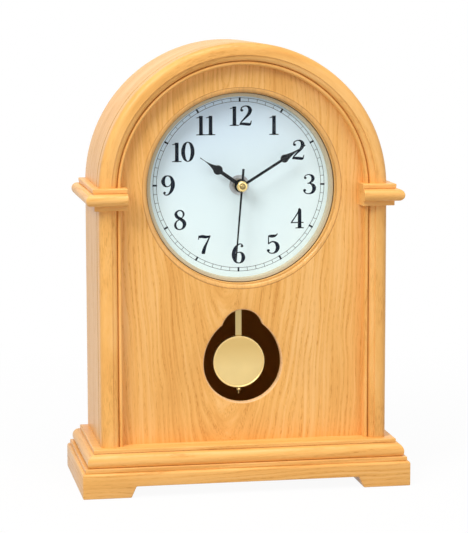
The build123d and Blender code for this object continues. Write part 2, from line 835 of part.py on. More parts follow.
def setting_knob():
    """The knob that sets the hands, with its shaft."""
    back = movement_back_y + KNOB_GAP
    knob = disc(KNOB_RADIUS, back, back + KNOB_HEIGHT, KNOB_OFFSET, knob_z)
    shaft = disc(KNOB_SHAFT_RADIUS, movement_back_y - KNOB_SHAFT_LENGTH, back, KNOB_OFFSET, knob_z)
    return knob + shaft


def battery():
    """One cell that lies across the movement, its raised end to the right."""
    can = Pos(-CELL_NUB_LENGTH / 2, 0, 0) * Rot(0, 90, 0) * Cylinder(CELL_RADIUS, CELL_LENGTH)
    nub_x = CELL_LENGTH / 2
    nub = Pos(nub_x, 0, 0) * Rot(0, 90, 0) * Cylinder(CELL_NUB_RADIUS, CELL_NUB_LENGTH)
    return Pos(0, cell_y, cell_z) * (can + nub)


def battery_contact(side):
    """A flat spring plate at one end of the bay."""
    end = CELL_LENGTH / 2 + CELL_NUB_LENGTH / 2 + CELL_CLEARANCE
    x_low = end if side > 0 else -end - CONTACT_THICKNESS
    half = CONTACT_SIZE / 2
    return block(x_low, x_low + CONTACT_THICKNESS, cell_y - half, cell_y + half, cell_z - half, cell_z + half)


# Pendulum


def pivot_pin():
    """The steel pin that the hanger swings on, held in both halves of the housing."""
    return pivot_pin_space(0)


def hanger():
    """The plastic lever that swings on the pin, with the peg that carries the rod."""
    eye = Pos(0, pivot_z) * Circle(HANGER_WIDTH / 2)
    foot_half = HANGER_WIDTH / 2 - HANGER_TAPER
    arm = outline(
        [
            (-HANGER_WIDTH / 2, pivot_z),
            (HANGER_WIDTH / 2, pivot_z),
            (foot_half, peg_z),
            (foot_half, peg_z - foot_half),
            (-foot_half, peg_z - foot_half),
            (-foot_half, peg_z),
        ]
    )
    view = eye + arm - Pos(0, pivot_z) * Circle(PIVOT_RADIUS + PIVOT_FIT)
    lever = between(view, hanger_y, hanger_y + HANGER_THICKNESS)
    hub = tube(HANGER_WIDTH / 2, PIVOT_RADIUS + PIVOT_FIT, hanger_y, cover_y - HUB_GAP, 0, pivot_z)
    head_y = rod_y - ROD_GAP
    peg = disc(PEG_RADIUS, head_y, hanger_y, 0, peg_z)
    head = disc(PEG_HEAD_RADIUS, head_y - PEG_HEAD_THICKNESS, head_y, 0, peg_z)
    return lever + hub + peg + head


def pendulum_rod():
    """The flat brass rod: a keyhole at its top hangs on the peg, and a thread comes out of its foot."""
    narrow = PEG_RADIUS + KEYHOLE_CLEARANCE
    wide = PEG_HEAD_RADIUS + KEYHOLE_CLEARANCE
    hang_z = peg_z - KEYHOLE_CLEARANCE / 2
    keyhole_z = hang_z - KEYHOLE_DROP
    strip_bottom = nut_top + NUT_GAP + BOB_RIM_WIDTH + THREAD_REACH
    head = SlotOverall(KEYHOLE_DROP + ROD_HEAD_WIDTH, ROD_HEAD_WIDTH, rotation=90)
    head = Pos(0, (hang_z + keyhole_z) / 2) * head
    strip = Pos(0, (keyhole_z + strip_bottom) / 2) * Rectangle(ROD_WIDTH, keyhole_z - strip_bottom)
    slot = Pos(0, (hang_z + keyhole_z) / 2) * Rectangle(2 * narrow, KEYHOLE_DROP)
    view = head + strip - slot - Pos(0, hang_z) * Circle(narrow) - Pos(0, keyhole_z) * Circle(wide)
    flat = between(view, rod_y, rod_back_y)
    thread_bottom = nut_top - RATING_NUT_HEIGHT - THREAD_REACH / 2
    thread_top = strip_bottom + THREAD_OVERLAP
    thread = Pos(0, (rod_y + rod_back_y) / 2, (thread_bottom + thread_top) / 2) * Cylinder(
        THREAD_RADIUS, thread_top - thread_bottom
    )
    return flat + thread


def bob_front():
    """The spun brass face of the bob: a shallow cup with a raised rim."""
    back = rod_y - BOB_BACK_GAP - THREAD_RADIUS + ROD_THICKNESS / 2
    face = back - BOB_SHEET
    crest = face - BOB_RIM_RISE
    cup_back = rod_back_y + THREAD_RADIUS + BOB_BACK_GAP - ROD_THICKNESS / 2
    inner = BOB_RADIUS - BOB_RIM_WIDTH
    section = [
        (0, face),
        (inner, face),
        ((BOB_RADIUS + inner) / 2, crest),
        (BOB_RADIUS, face),
        (BOB_RADIUS, cup_back),
        (inner, cup_back),
        (inner, back),
        (0, back),
    ]
    return turned(outline(section), BOB_HEIGHT) - rod_passage()


def rod_passage():
    """The slot in the bob's top wall for the rod, and the narrower one in its foot for the thread."""
    y_middle = (rod_y + rod_back_y) / 2
    reach = THREAD_RADIUS + BOB_BACK_GAP
    rod_half = ROD_WIDTH / 2 + BOB_SIDE_GAP
    top = BOB_HEIGHT + BOB_RADIUS + OVERRUN
    bottom = bob_bottom - OVERRUN
    for_rod = block(-rod_half, rod_half, y_middle - reach, y_middle + reach, BOB_HEIGHT, top)
    for_thread = block(-reach, reach, y_middle - reach, y_middle + reach, bottom, BOB_HEIGHT)
    return for_rod + for_thread


def bob_back():
    """The flat plate that closes the bob."""
    front = (rod_y + rod_back_y) / 2 + THREAD_RADIUS + BOB_BACK_GAP
    return disc(BOB_RADIUS, front, front + BOB_SHEET, 0, BOB_HEIGHT)


def rating_nut():
    """The knurled nut under the bob that sets its height."""
    nut = extrude(Circle(RATING_NUT_RADIUS) - Circle(THREAD_RADIUS + PIVOT_FIT), RATING_NUT_HEIGHT)
    return Pos(0, (rod_y + rod_back_y) / 2, nut_top - RATING_NUT_HEIGHT) * nut


# Back door


def back_door():
    """The arched door, set in the case's rebate."""
    bottom = base_top + DOOR_GAP
    view = arch(inner_half + DOOR_LEDGE - DOOR_GAP, bottom)
    door = between(view, door_y, case_back_y)
    back_edges = door.faces().sort_by(Axis.Y)[-1].edges()
    door = chamfer(back_edges, DOOR_CHAMFER)
    spigot_radius = PULL_SPIGOT_RADIUS + SCREW_FIT
    return door - disc(spigot_radius, door_y - OVERRUN, case_back_y + OVERRUN, pull_x(), PULL_HEIGHT)


def pull_x():
    """How far to the left the door's knob stands."""
    return PULL_INSET - inner_half


def door_pull():
    """The small turned knob of the door."""
    back = case_back_y + PULL_PROJECTION
    neck_y = case_back_y + PULL_PROJECTION / 4
    section = [
        (0, door_y),
        (PULL_SPIGOT_RADIUS, door_y),
        (PULL_SPIGOT_RADIUS, case_back_y),
        (PULL_NECK_RADIUS, case_back_y),
        (PULL_NECK_RADIUS, neck_y),
        (PULL_RADIUS, neck_y),
        (PULL_RADIUS, back - PULL_BEVEL),
        (PULL_RADIUS - PULL_BEVEL, back),
        (0, back),
    ]
    return turned(outline(section), PULL_HEIGHT, pull_x())


def catch_magnet():
    """The magnet block on the inside of the case."""
    back = door_y - STRIKE_THICKNESS - MAGNET_GAP
    low = PULL_HEIGHT - MAGNET_LENGTH / 2
    return block(-inner_half, MAGNET_WIDTH - inner_half, back - MAGNET_DEPTH, back, low, low + MAGNET_LENGTH)


def strike_plate():
    """The steel plate on the door that the magnet holds."""
    low = PULL_HEIGHT - MAGNET_LENGTH / 2 + DOOR_GAP
    high = PULL_HEIGHT + MAGNET_LENGTH / 2 - DOOR_GAP
    left = DOOR_GAP - inner_half
    return block(left, left + MAGNET_WIDTH, door_y - STRIKE_THICKNESS, door_y, low, high)


def hinge_heights():
    """The middles of the two hinges."""
    return (LOWER_HINGE_HEIGHT, spring_z - UPPER_HINGE_DROP)


def barrel(radius, low, high):
    """A stretch of hinge barrel, or of its pin."""
    return Pos(hinge_x, hinge_y, low) * extrude(Circle(radius), high - low)


def hinge_leaf(side):
    """One hinge leaf. The case's (side 1) has the outer knuckles and the pin, the door's the middle one."""
    half = HINGE_LENGTH / 2
    sixth = HINGE_LENGTH / 6
    near = hinge_x + side * (KNUCKLE_RADIUS + KNUCKLE_GAP)
    case_lip = SIDE_THICKNESS - DOOR_LEDGE + DOOR_GAP / 2 - KNUCKLE_GAP
    far = hinge_x + case_lip if side > 0 else hinge_x - HINGE_LEAF_WIDTH
    plate_back = case_back_y + HINGE_THICKNESS
    leaf = block(min(near, far), max(near, far), case_back_y, plate_back, -half, half)
    outer = [(-half, -sixth - KNUCKLE_GAP), (sixth + KNUCKLE_GAP, half)]
    for low, high in outer if side > 0 else [(-sixth, sixth)]:
        wrap_front = case_back_y + KNUCKLE_GAP
        wrap = block(min(hinge_x, near), max(hinge_x, near), wrap_front, plate_back, low, high)
        leaf = leaf + wrap + barrel(KNUCKLE_RADIUS, low, high)
    if side > 0:
        return leaf + barrel(HINGE_PIN_RADIUS, -half, half)
    return leaf - barrel(HINGE_PIN_RADIUS + HINGE_PIN_FIT, -half, half)


def hinge_leaves(side):
    """Both hinges' leaves on one side."""
    return [Pos(0, 0, z) * hinge_leaf(side) for z in hinge_heights()]


# Every node and the piece or pieces that it holds
NODES = {
    "plinth": plinth(),
    "base_board": base_board(),
    "base_screws": base_screws(),
    "case_shell": case_shell(),
    "case_floor": case_floor(),
    "front_arch": front_arch(),
    "stile_left": stile(-1),
    "stile_right": stile(1),
    "impost_left": impost(-1),
    "impost_right": impost(1),
    "front_panel": front_panel(),
    "dial_ring": dial_ring(),
    "dial_glass": dial_glass(),
    "glass_spacer": glass_spacer(),
    "dial_plate": dial_plate(),
    "bush": bush(),
    "rubber_washer": rubber_washer(),
    "bush_washer": bush_washer(),
    "bush_nut": bush_nut(),
    "hour_hand": hour_hand(),
    "hour_tube": hour_tube(),
    "minute_hand": minute_hand(),
    "minute_tube": minute_tube(),
    "second_hand": second_hand(),
    "second_arbor": second_arbor(),
    "second_cap": second_cap(),
    "front_housing": front_housing(),
    "rear_cover": rear_cover(),
    "setting_knob": setting_knob(),
    "battery": battery(),
    "battery_contact_plus": battery_contact(1),
    "battery_contact_minus": battery_contact(-1),
    "pivot_pin": pivot_pin(),
    "hanger": hanger(),
    "pendulum_rod": pendulum_rod(),
    "bob_front": bob_front(),
    "bob_back": bob_back(),
    "rating_nut": rating_nut(),
    "back_door": back_door(),
    "door_pull": door_pull(),
    "catch_magnet": catch_magnet(),
    "strike_plate": strike_plate(),
    "hinge_leaves_case": hinge_leaves(1),
    "hinge_leaves_door": hinge_leaves(-1),
}

os.makedirs("parts", exist_ok=True)
for name, made in NODES.items():
    shape = Compound(children=made) if isinstance(made, list) else made
    shape.label = name
    export_step(shape, f"parts/{name}.step")
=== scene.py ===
import math
from contextlib import contextmanager

import bmesh
import bpy
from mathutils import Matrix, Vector
from mathutils.geometry import tessellate_polygon


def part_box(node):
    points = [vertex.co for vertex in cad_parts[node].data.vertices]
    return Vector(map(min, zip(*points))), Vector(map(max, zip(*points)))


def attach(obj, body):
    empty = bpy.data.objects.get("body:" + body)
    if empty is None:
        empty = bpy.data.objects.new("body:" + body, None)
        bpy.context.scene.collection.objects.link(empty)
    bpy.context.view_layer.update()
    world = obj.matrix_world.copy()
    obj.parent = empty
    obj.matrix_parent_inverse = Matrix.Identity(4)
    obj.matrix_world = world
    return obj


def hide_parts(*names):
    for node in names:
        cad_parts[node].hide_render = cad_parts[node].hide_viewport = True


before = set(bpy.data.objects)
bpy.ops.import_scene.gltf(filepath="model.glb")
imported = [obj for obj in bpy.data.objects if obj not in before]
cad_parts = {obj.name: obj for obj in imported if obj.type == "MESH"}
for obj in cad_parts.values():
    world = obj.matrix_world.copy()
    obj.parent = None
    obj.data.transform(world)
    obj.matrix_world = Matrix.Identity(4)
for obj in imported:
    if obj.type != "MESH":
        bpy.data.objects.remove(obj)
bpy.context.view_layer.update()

bl_info = {
    "name": "Desk pendulum clock",
    "version": (1, 0, 0),
    "blender": (4, 5, 0),
    "location": "3D View > Sidebar > Clock",
    "description": "Dresses an arched oak desk clock: case, dial, hands, pendulum and movement",
    "category": "Object",
}

MM = 0.001

# Places taken from the frame, in metres: the centres of the arch and of the dial, and the main faces
ARCH_Z = (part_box("dial_ring")[0].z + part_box("dial_ring")[1].z) / 2
DIAL_Z = (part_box("second_cap")[0].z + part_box("second_cap")[1].z) / 2
CASE_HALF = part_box("case_shell")[1].x
FRAME_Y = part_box("front_arch")[0].y
PANEL_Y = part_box("front_panel")[0].y
PANEL_BACK_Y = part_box("front_panel")[1].y
DIAL_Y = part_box("dial_plate")[0].y
BASE_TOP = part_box("base_board")[1].z
CASE_BACK_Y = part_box("case_shell")[1].y
IMPOST_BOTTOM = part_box("impost_left")[0].z
IMPOST_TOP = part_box("impost_left")[1].z

# Stage. The turn is yaw, pitch and roll in degrees, and a lamp has its place, its width and its watts
CAMERA_PLACE = (-0.27685, -1.53182, 0.36577)
CAMERA_TURN = (10.232, 7.675, 0.11)
CAMERA_LENS = 145.23
LAMPS = {
    "key": ((-1.35, -1.35, 1.65), 0.9, 29.0),
    "fill": ((1.3, -1.9, 0.7), 1.6, 7.8),
    "top": ((-0.1, -0.65, 2.2), 1.2, 28.5),
}
LAMP_TARGET = Vector((0.0, 0.0, 0.16))

# The floor's half width and its greys, as it is seen and as it throws light; the surround's strength as light
FLOOR_REACH = 9.0
FLOOR_SEEN, FLOOR_LIT = (0.78, 0.78, 0.78), (0.5, 0.5, 0.5)
SURROUND_LIGHT = 0.4

# Degrees that a surface turns before its edge is drawn sharp, and tool marks on metal to the metre
SHARP_TURN = 35
TOOL_MARKS = 2600.0

# Settings that a user would change


def size(name, description, millimetres):
    """A length setting."""
    return bpy.props.FloatProperty(
        name=name, description=description, default=millimetres * MM, precision=5,
        subtype="DISTANCE", unit="LENGTH",
    )


class ClockSizes(bpy.types.PropertyGroup):
    """Sizes of the printed dial and of the edges that are softened."""

    figure_height: size("Figure height", "Height of the dial's figures", 14.2)
    figure_radius: size("Figure circle", "Distance of the figures from the dial's centre", 49.7)
    track_outer: size("Track outer circle", "Radius of the minute track's outer line", 62.5)
    track_inner: size("Track inner circle", "Radius of the minute track's inner line", 60.0)
    line_width: size("Track line", "Width of the minute track's lines", 0.30)
    window_round: size("Window edge", "Rounding of the keyhole window's front edge", 1.3)
    seam_round: size("Seam", "Rounding on both sides of the seam behind the front moulding", 1.1)


def colour(name, description, rgb):
    """A colour setting."""
    return bpy.props.FloatVectorProperty(
        name=name, description=description, default=rgb, size=3, min=0.0, max=1.0, subtype="COLOR"
    )


class ClockColours(bpy.types.PropertyGroup):
    """Base colours of the finishes, as linear values."""

    oak_light: colour("Oak, light", "Late growth of the honey oak", (0.905, 0.522, 0.187))
    oak_mid: colour("Oak, middle", "Main colour of the honey oak", (0.84, 0.436, 0.118))
    oak_dark: colour("Oak, dark", "Early growth of the honey oak", (0.69, 0.308, 0.065))
    oak_pore: colour("Oak pores", "The open pores' fine dashes", (0.50, 0.185, 0.022))
    ring_wood: colour("Dial ring wood", "The turned ring round the dial", (0.84, 0.44, 0.125))
    # Partly painted highlight: paler than the veneer, for the cut edge and the highlight on its rounding
    edge_wood: colour("Window edge wood", "The sanded edge of the keyhole window", (0.88, 0.54, 0.26))
    softwood: colour("Softwood", "Unfinished wood inside the case", (0.62, 0.42, 0.22))
    door_brown: colour("Door brown", "Painted back door", (0.15, 0.062, 0.020))
    # Partly painted light: a brown inner face, made brighter than the door to stand in for light inside the
    # case
    door_lining: colour("Door lining", "The door's inner face", (0.66, 0.28, 0.045))
    dial_white: colour("Dial white", "The dial's ground", (0.83, 0.955, 0.995))
    ink: colour("Dial ink", "Figures and minute track", (0.008, 0.012, 0.022))
    # Painted shade: this dark brown stands for the shadow in the seam behind the front moulding and in the
    # ledge's groove
    joint_brown: colour("Joint brown", "The dark joints of the ledge and the band", (0.10, 0.05, 0.02))
    spacer_cream: colour("Spacer cream", "The ledge round the dial", (0.60, 0.51, 0.35))
    brass: colour("Brass", "Bob, rod, nut and fittings", (0.83, 0.62, 0.27))
    steel: colour("Steel", "Zinc plated screws and washers", (0.55, 0.55, 0.56))


def sizes():
    """The scene's size settings."""
    return bpy.context.scene.clock_sizes


def colours():
    """The scene's colour settings."""
    return bpy.context.scene.clock_colours


def shade(rgb, factor):
    """A colour made darker or brighter, never past full."""
    return [min(factor * v, 1.0) for v in rgb]


# Node trees


class Wiring:
    """Adds and links the nodes of one tree in few words."""

    def __init__(self, tree):
        self.tree = tree

    def add(self, kind, **settings):
        """A node with some of its settings changed."""
        node = self.tree.nodes.new(kind)
        for key, value in settings.items():
            setattr(node, key, value)
        return node

    def feed(self, socket, value):
        """Links an output to a socket, or gives the socket a plain value."""
        if isinstance(value, bpy.types.NodeSocket):
            self.tree.links.new(value, socket)
        else:
            socket.default_value = value

    def filled(self, node, values):
        """The node's first output, once its first inputs are fed."""
        for i, value in enumerate(values):
            self.feed(node.inputs[i], value)
        return node.outputs[0]

    def sum(self, kind, *values, clamp=False):
        """A Math node."""
        return self.filled(self.add("ShaderNodeMath", operation=kind, use_clamp=clamp), values)

    def plus(self, first, *rest):
        """Values added up."""
        for value in rest:
            first = self.sum("ADD", first, value)
        return first

    def times(self, first, *rest):
        """Values multiplied."""
        for value in rest:
            first = self.sum("MULTIPLY", first, value)
        return first

    def minus(self, a, b):
        """One value less another."""
        return self.sum("SUBTRACT", a, b)

    def length(self, *sides):
        """The length that sides at right angles span."""
        return self.sum("SQRT", self.plus(*(self.times(side, side) for side in sides)))

    def vector(self, x, y, z):
        """A vector from three numbers or outputs."""
        return self.filled(self.add("ShaderNodeCombineXYZ"), (x, y, z))

    def split(self, vector):
        """A vector's three outputs."""
        node = self.add("ShaderNodeSeparateXYZ")
        self.feed(node.inputs[0], vector)
        return node.outputs

    def here(self, space="Object"):
        """The point's own coordinates."""
        return self.add("ShaderNodeTexCoord").outputs[space]

    def noise(self, vector, scale, detail=2.0, rough=0.5):
        """Noise between 0 and 1."""
        node = self.add("ShaderNodeTexNoise")
        for label, value in (("Vector", vector), ("Scale", scale), ("Detail", detail), ("Roughness", rough)):
            self.feed(node.inputs[label], value)
        return node.outputs["Fac"]

    def drawn_out(self, places, scales, detail=2.0, rough=0.5):
        """Noise with its own scale along each direction."""
        scaled = (self.times(place, scale) for place, scale in zip(places, scales))
        return self.noise(self.vector(*scaled), 1.0, detail, rough)

    def centred(self, value, amount):
        """Noise moved to lie about zero, and scaled."""
        return self.times(self.minus(value, 0.5), amount)

    def span(self, value, low, high, to_low=0.0, to_high=1.0):
        """A value moved from one range to another, clamped."""
        return self.filled(self.add("ShaderNodeMapRange"), (value, low, high, to_low, to_high))

    def blend(self, factor, a, b):
        """Two colours mixed."""
        node = self.add("ShaderNodeMix", data_type="RGBA")
        self.feed(node.inputs[0], factor)
        for i, value in ((6, a), (7, b)):
            self.feed(node.inputs[i], value if isinstance(value, bpy.types.NodeSocket) else (*value, 1.0))
        return node.outputs[2]

    def bump(self, height, distance):
        """A Bump node's normal."""
        node = self.add("ShaderNodeBump")
        for label, value in (("Strength", 1.0), ("Distance", distance), ("Height", height)):
            self.feed(node.inputs[label], value)
        return node.outputs[0]


class Finish(Wiring):
    """A new material, and the wiring of its Principled shader."""

    def __init__(self, name):
        self.material = bpy.data.materials.new(name)
        self.material.use_nodes = True
        super().__init__(self.material.node_tree)
        self.shader = self.tree.nodes["Principled BSDF"]
        self.surface = self.tree.nodes["Material Output"].inputs["Surface"]

    def close(self, skin, rough, relief, depth, metallic=0.0, specular=0.5, coat=0.0):
        """Feeds the shader its colour, roughness and relief, sets its constants and gives the material."""
        sockets = self.shader.inputs
        self.feed(sockets["Base Color"], skin)
        self.feed(sockets["Roughness"], rough)
        self.feed(sockets["Normal"], self.bump(relief, depth))
        self.feed(sockets["Metallic"], metallic)
        sockets["Specular IOR Level"].default_value = specular
        sockets["Coat Weight"].default_value = coat
        return self.material


def grain_space(w, along):
    """Coordinates along the grain, across it and into the wood. UV follows a swept piece's own map."""
    x, y, z = w.split(w.here("UV" if along == "UV" else "Object"))
    return {"UV": (x, y, z), "X": (x, z, y), "Y": (y, z, x), "Z": (z, x, y)}[along]


def oak(name, along, pith=(0.0, 0.045, 0.10), ring=3.1 * MM, light=1.0, figure=1.0, shift=0.0, joint=None):
    """Satin lacquered honey oak.

    pith is the log's centre: across, how deep, and how far it leans along the grain. light scales its
    colours, and above 1 it is painted light. figure sets its contrast, and the last argument is a place
    along Y before which painted shade darkens it, for the shadow in a seam.
    """
    w = Finish(name)
    paint = colours()
    a, c, d = grain_space(w, along)
    a = w.plus(a, shift)

    def grain(along_scale, across_scale, detail=2.0, rough=0.5, places=(c, d)):
        """Noise drawn out along the grain."""
        return w.drawn_out((a, *places), (along_scale, across_scale, across_scale), detail, rough)

    wander = w.plus(w.centred(grain(6.0, 18.0, 3.0), 0.022), w.centred(grain(16.0, 90.0), 0.003))
    across = w.plus(w.minus(c, pith[0]), wander)
    deep = w.plus(w.times(a, pith[2]), pith[1], d)
    radius = w.length(across, deep)
    phase = w.plus(w.times(radius, 2 * math.pi / ring), w.centred(grain(3.0, 40.0), 6.0))
    early = w.sum("POWER", w.span(w.sum("SINE", phase), -1.0, 1.0), 2.0)
    broad = grain(3.0, 45.0, 3.0)
    side = w.plus(c, d)
    streaks = grain(9.0, 620.0, 4.0, 0.65, (radius, w.times(side, 0.12)))
    fine = grain(170.0, 2500.0, 1.0, 0.5, (radius, side))
    tone = w.plus(w.times(early, 0.08 * figure), w.centred(streaks, 1.3 * figure))
    tone = w.plus(tone, w.centred(broad, 0.8 * figure))
    ramp = w.add("ShaderNodeValToRGB")
    w.feed(ramp.inputs[0], w.sum("ADD", tone, 0.40, clamp=True))
    stops = ramp.color_ramp.elements
    stops.new(0.45)
    for stop, tint in zip(stops, (paint.oak_light, paint.oak_mid, paint.oak_dark)):
        stop.color = (*shade(tint, light), 1.0)
    dashes = w.times(w.span(fine, 0.52, 0.64), w.span(early, 0.0, 0.8, 0.15, 1.0))
    dashes = w.times(dashes, w.span(streaks, 0.35, 0.6, 0.2, 1.0))
    skin = w.blend(w.times(dashes, 0.46 * figure), ramp.outputs[0], paint.oak_pore)
    # Painted shade: in front of the given place along Y the wood blends to dark brown, for the shadow in the
    # seam behind the front moulding
    if joint is not None:
        seam_shade = w.span(w.split(w.here())[1], joint, joint + 0.2 * MM, 0.65, 0.0)
        skin = w.blend(seam_shade, skin, paint.joint_brown)
    rough = w.plus(w.times(dashes, 0.14), w.times(streaks, 0.10), 0.32)
    w.shader.inputs["Coat Roughness"].default_value = 0.2
    relief = w.minus(w.times(streaks, 0.35), dashes)
    return w.close(skin, rough, relief, 0.05 * MM, specular=0.22, coat=0.12)


def plain_wood(name, tint, along="Z", rough=0.5, coat=0.0):
    """Plain fine wood: a turned ring or unfinished softwood."""
    w = Finish(name)
    places = grain_space(w, along)
    lines = w.drawn_out(places, (22.0, 620.0, 620.0), 3.0, 0.6)
    clouds = w.drawn_out(places, (12.0, 60.0, 60.0))
    tone = w.plus(w.times(lines, 0.5), w.times(clouds, 0.5))
    skin = w.blend(w.span(tone, 0.3, 0.7), shade(tint, 1.12), shade(tint, 0.70))
    rough = w.plus(w.times(lines, 0.15), rough - 0.07)
    return w.close(skin, rough, lines, 0.04 * MM, specular=0.3, coat=coat)


def speckled(name, tint, rough, grain=900.0, depth=0.03 * MM, variation=0.06, specular=0.5):
    """Paint, print or moulded plastic: one colour with a fine surface texture and faint clouds."""
    w = Finish(name)
    grit = w.noise(w.here(), grain, 3.0, 0.6)
    clouds = w.noise(w.here(), 28.0)
    tone = w.plus(w.times(clouds, 0.7), w.times(grit, 0.3))
    skin = w.blend(w.span(tone, 0.35, 0.65), shade(tint, 1 - variation), shade(tint, 1 + variation))
    return w.close(skin, w.plus(w.centred(clouds, 0.16), rough), grit, depth, specular=specular)


def metal(name, tint, rough, centre=None, depth=0.012 * MM, painted_dark_top=0.0, rim=None):
    """Metal with fine tool marks: turned rings round a centre, else brushed along Z.

    The sixth argument darkens it upwards, a painted reflection, and rim is a radius and the brighter
    colour beyond it, a painted highlight.
    """
    w = Finish(name)
    x, y, z = w.split(w.here())
    if centre is None:
        marks = w.drawn_out((x, y, z), (TOOL_MARKS, TOOL_MARKS, 40.0), rough=0.6)
    else:
        radius = w.length(w.minus(x, centre[0]), w.minus(z, centre[1]))
        marks = w.drawn_out((radius, y, 0.0), (TOOL_MARKS, 30.0, 0.0), rough=0.6)
    clouds = w.noise(w.here(), 60.0, 3.0)
    skin = w.blend(w.span(clouds, 0.3, 0.7), shade(tint, 0.93), tint)
    # Painted reflection: the colour darkens towards the top
    if painted_dark_top:
        height = w.plus(w.minus(z, centre[1]), w.centred(clouds, 4 * MM))
        skin = w.blend(w.span(height, -4 * MM, 12 * MM, 0.0, painted_dark_top), skin, [v * v * 0.8 for v in tint])
    # Painted highlight: a brighter colour beyond the rim's radius
    if rim:
        skin = w.blend(w.span(radius, rim[0] - 0.3 * MM, rim[0]), skin, rim[1])
    wear = w.plus(w.times(marks, 0.10), w.times(clouds, 0.10), rough - 0.10)
    return w.close(skin, wear, marks, depth, metallic=1.0)


def clear_glass(name):
    """Thin clear glass: it lets the dial show unchanged, and its gloss grows towards its edge."""
    w = Finish(name)
    w.tree.nodes.remove(w.shader)
    gloss = w.add("ShaderNodeBsdfAnisotropic")
    w.feed(gloss.inputs["Roughness"], w.span(w.noise(w.here(), 35.0), 0.3, 0.7, 0.02, 0.05))
    through = w.add("ShaderNodeBsdfTransparent")
    through.inputs[0].default_value = (0.985, 0.995, 0.99, 1.0)
    fresnel = w.add("ShaderNodeFresnel")
    fresnel.inputs[0].default_value = 1.38
    outside = w.minus(1.0, w.add("ShaderNodeNewGeometry").outputs["Backfacing"])
    share = w.times(fresnel.outputs[0], 0.35, outside)
    w.feed(w.surface, w.filled(w.add("ShaderNodeMixShader"), (share, through.outputs[0], gloss.outputs[0])))
    return w.material


# Meshes


def placed(name, data):
    """A new object in the scene."""
    thing = bpy.data.objects.new(name, data)
    bpy.context.collection.objects.link(thing)
    return thing


@contextmanager
def edited(mesh):
    """A mesh opened for editing, and written back."""
    work = bmesh.new()
    work.from_mesh(mesh)
    yield work
    work.to_mesh(mesh)
    work.free()
    mesh.update()


def cleaned(mesh):
    """Merges doubles and points every face outwards."""
    with edited(mesh) as work:
        bmesh.ops.remove_doubles(work, verts=work.verts, dist=0.001 * MM)
        bmesh.ops.recalc_face_normals(work, faces=work.faces)


def smoothed(mesh, degrees=SHARP_TURN):
    """Shades a mesh smooth except where it turns sharply."""
    mesh.shade_smooth()
    mesh.set_sharp_from_angle(angle=math.radians(degrees))


def carried(piece, body, node=None):
    """A piece set to ride on a body, and to stand for a CAD node where it has one."""
    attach(piece, body)
    if node:
        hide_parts(node)
    return piece


def new_piece(name, verts, faces, materials, body="case", node=None, slot=None, marks=None, uvs=None):
    """A mesh piece in its place, riding on a body. marks are its faces' materials."""
    mesh = bpy.data.meshes.new(name)
    mesh.from_pydata([tuple(v) for v in verts], [], faces)
    for material in materials:
        mesh.materials.append(material)
    if marks:
        mesh.polygons.foreach_set("material_index", marks)
    if uvs:
        layer = mesh.uv_layers.new(name="grain")
        for loop in mesh.loops:
            layer.data[loop.index].uv = uvs[loop.vertex_index]
    cleaned(mesh)
    smoothed(mesh)
    return carried(placed(name, mesh), body, node)


def dress(nodes, material):
    """Gives CAD nodes their finish."""
    for node in nodes:
        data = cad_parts[node].data
        data.materials.clear()
        data.materials.append(material)


def metres(points):
    """Points in millimetres made metres."""
    return [tuple(v * MM for v in point) for point in points]


def box_mm(node):
    """A node's box, in millimetres."""
    return [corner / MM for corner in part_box(node)]


def middle(node, axis="Y"):
    """The centre of a node's box, seen along an axis."""
    low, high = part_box(node)
    return [(getattr(low, k) + getattr(high, k)) / 2 for k in "xyz" if k != axis.lower()]


def arc(centre, radius, start, end, steps):
    """Points of an arc, by its angles in degrees. Two radii make it elliptic."""
    wide, high = radius if isinstance(radius, tuple) else (radius, radius)
    turns = [math.radians(start + (end - start) * i / steps) for i in range(steps + 1)]
    return [(centre[0] + wide * math.cos(turn), centre[1] + high * math.sin(turn)) for turn in turns]


def rings_to_mesh(rings, closed_rings, closed_way, caps=False):
    """Vertices and faces between rings of points with the same count."""
    count = len(rings[0])
    verts = [p for ring in rings for p in ring]
    faces = []
    for i in range(len(rings) - (0 if closed_way else 1)):
        j = (i + 1) % len(rings)
        for k in range(count - (0 if closed_rings else 1)):
            m = (k + 1) % count
            faces.append((i * count + k, i * count + m, j * count + m, j * count + k))
    if caps:
        faces.append(tuple(range(count)))
        faces.append(tuple(range((len(rings) - 1) * count, len(rings) * count)))
    return verts, faces


def turned(name, section, material, node, axis="Y", steps=96, centre=None, wobble=None, **kw):
    """A turned piece, about its node's centre if none is given.

    section is radius and place along the axis, in millimetres.
    """
    centre, rings = centre or middle(node, axis), []
    for i in range(steps):
        turn = 2 * math.pi * i / steps
        ring = []
        for radius, place in section:
            r = radius * MM * (wobble(turn, radius) if wobble else 1.0)
            u, v, w = centre[0] + r * math.cos(turn), centre[1] + r * math.sin(turn), place * MM
            ring.append({"X": (w, u, v), "Y": (u, w, v), "Z": (u, v, w)}[axis])
        rings.append(ring)
    verts, faces = rings_to_mesh(rings, section[0][0] > 0, True)
    return new_piece(name, verts, faces, [material], node=node, **kw)


def ripple(count, depth, from_radius, power=1):
    """A wobble for a turned piece: grooves round every part of it beyond a radius."""
    def share(turn, radius):
        wave = (0.5 + 0.5 * math.cos(count * turn)) ** power
        return 1.0 - (depth * wave if radius > from_radius else 0.0)

    return share


def stacked(name, plans, woods, side_edges, node, slot):
    """A block of plans stacked upwards. The faces that rise from its side edges take the second wood."""
    verts, faces = rings_to_mesh(plans, True, False, caps=True)
    marks = [int(k in side_edges) for _ in plans[1:] for k in range(len(plans[0]))] + [0, 0]
    new_piece(name, verts, faces, woods, node=node, slot=slot, marks=marks)


def arch_head(steps=96):
    """Stations over the arch from left to right: where, and the outward direction."""
    turns = [math.pi * (1 - i / steps) for i in range(steps + 1)]
    return [((0.0, ARCH_Z), (math.cos(turn), math.sin(turn))) for turn in turns]


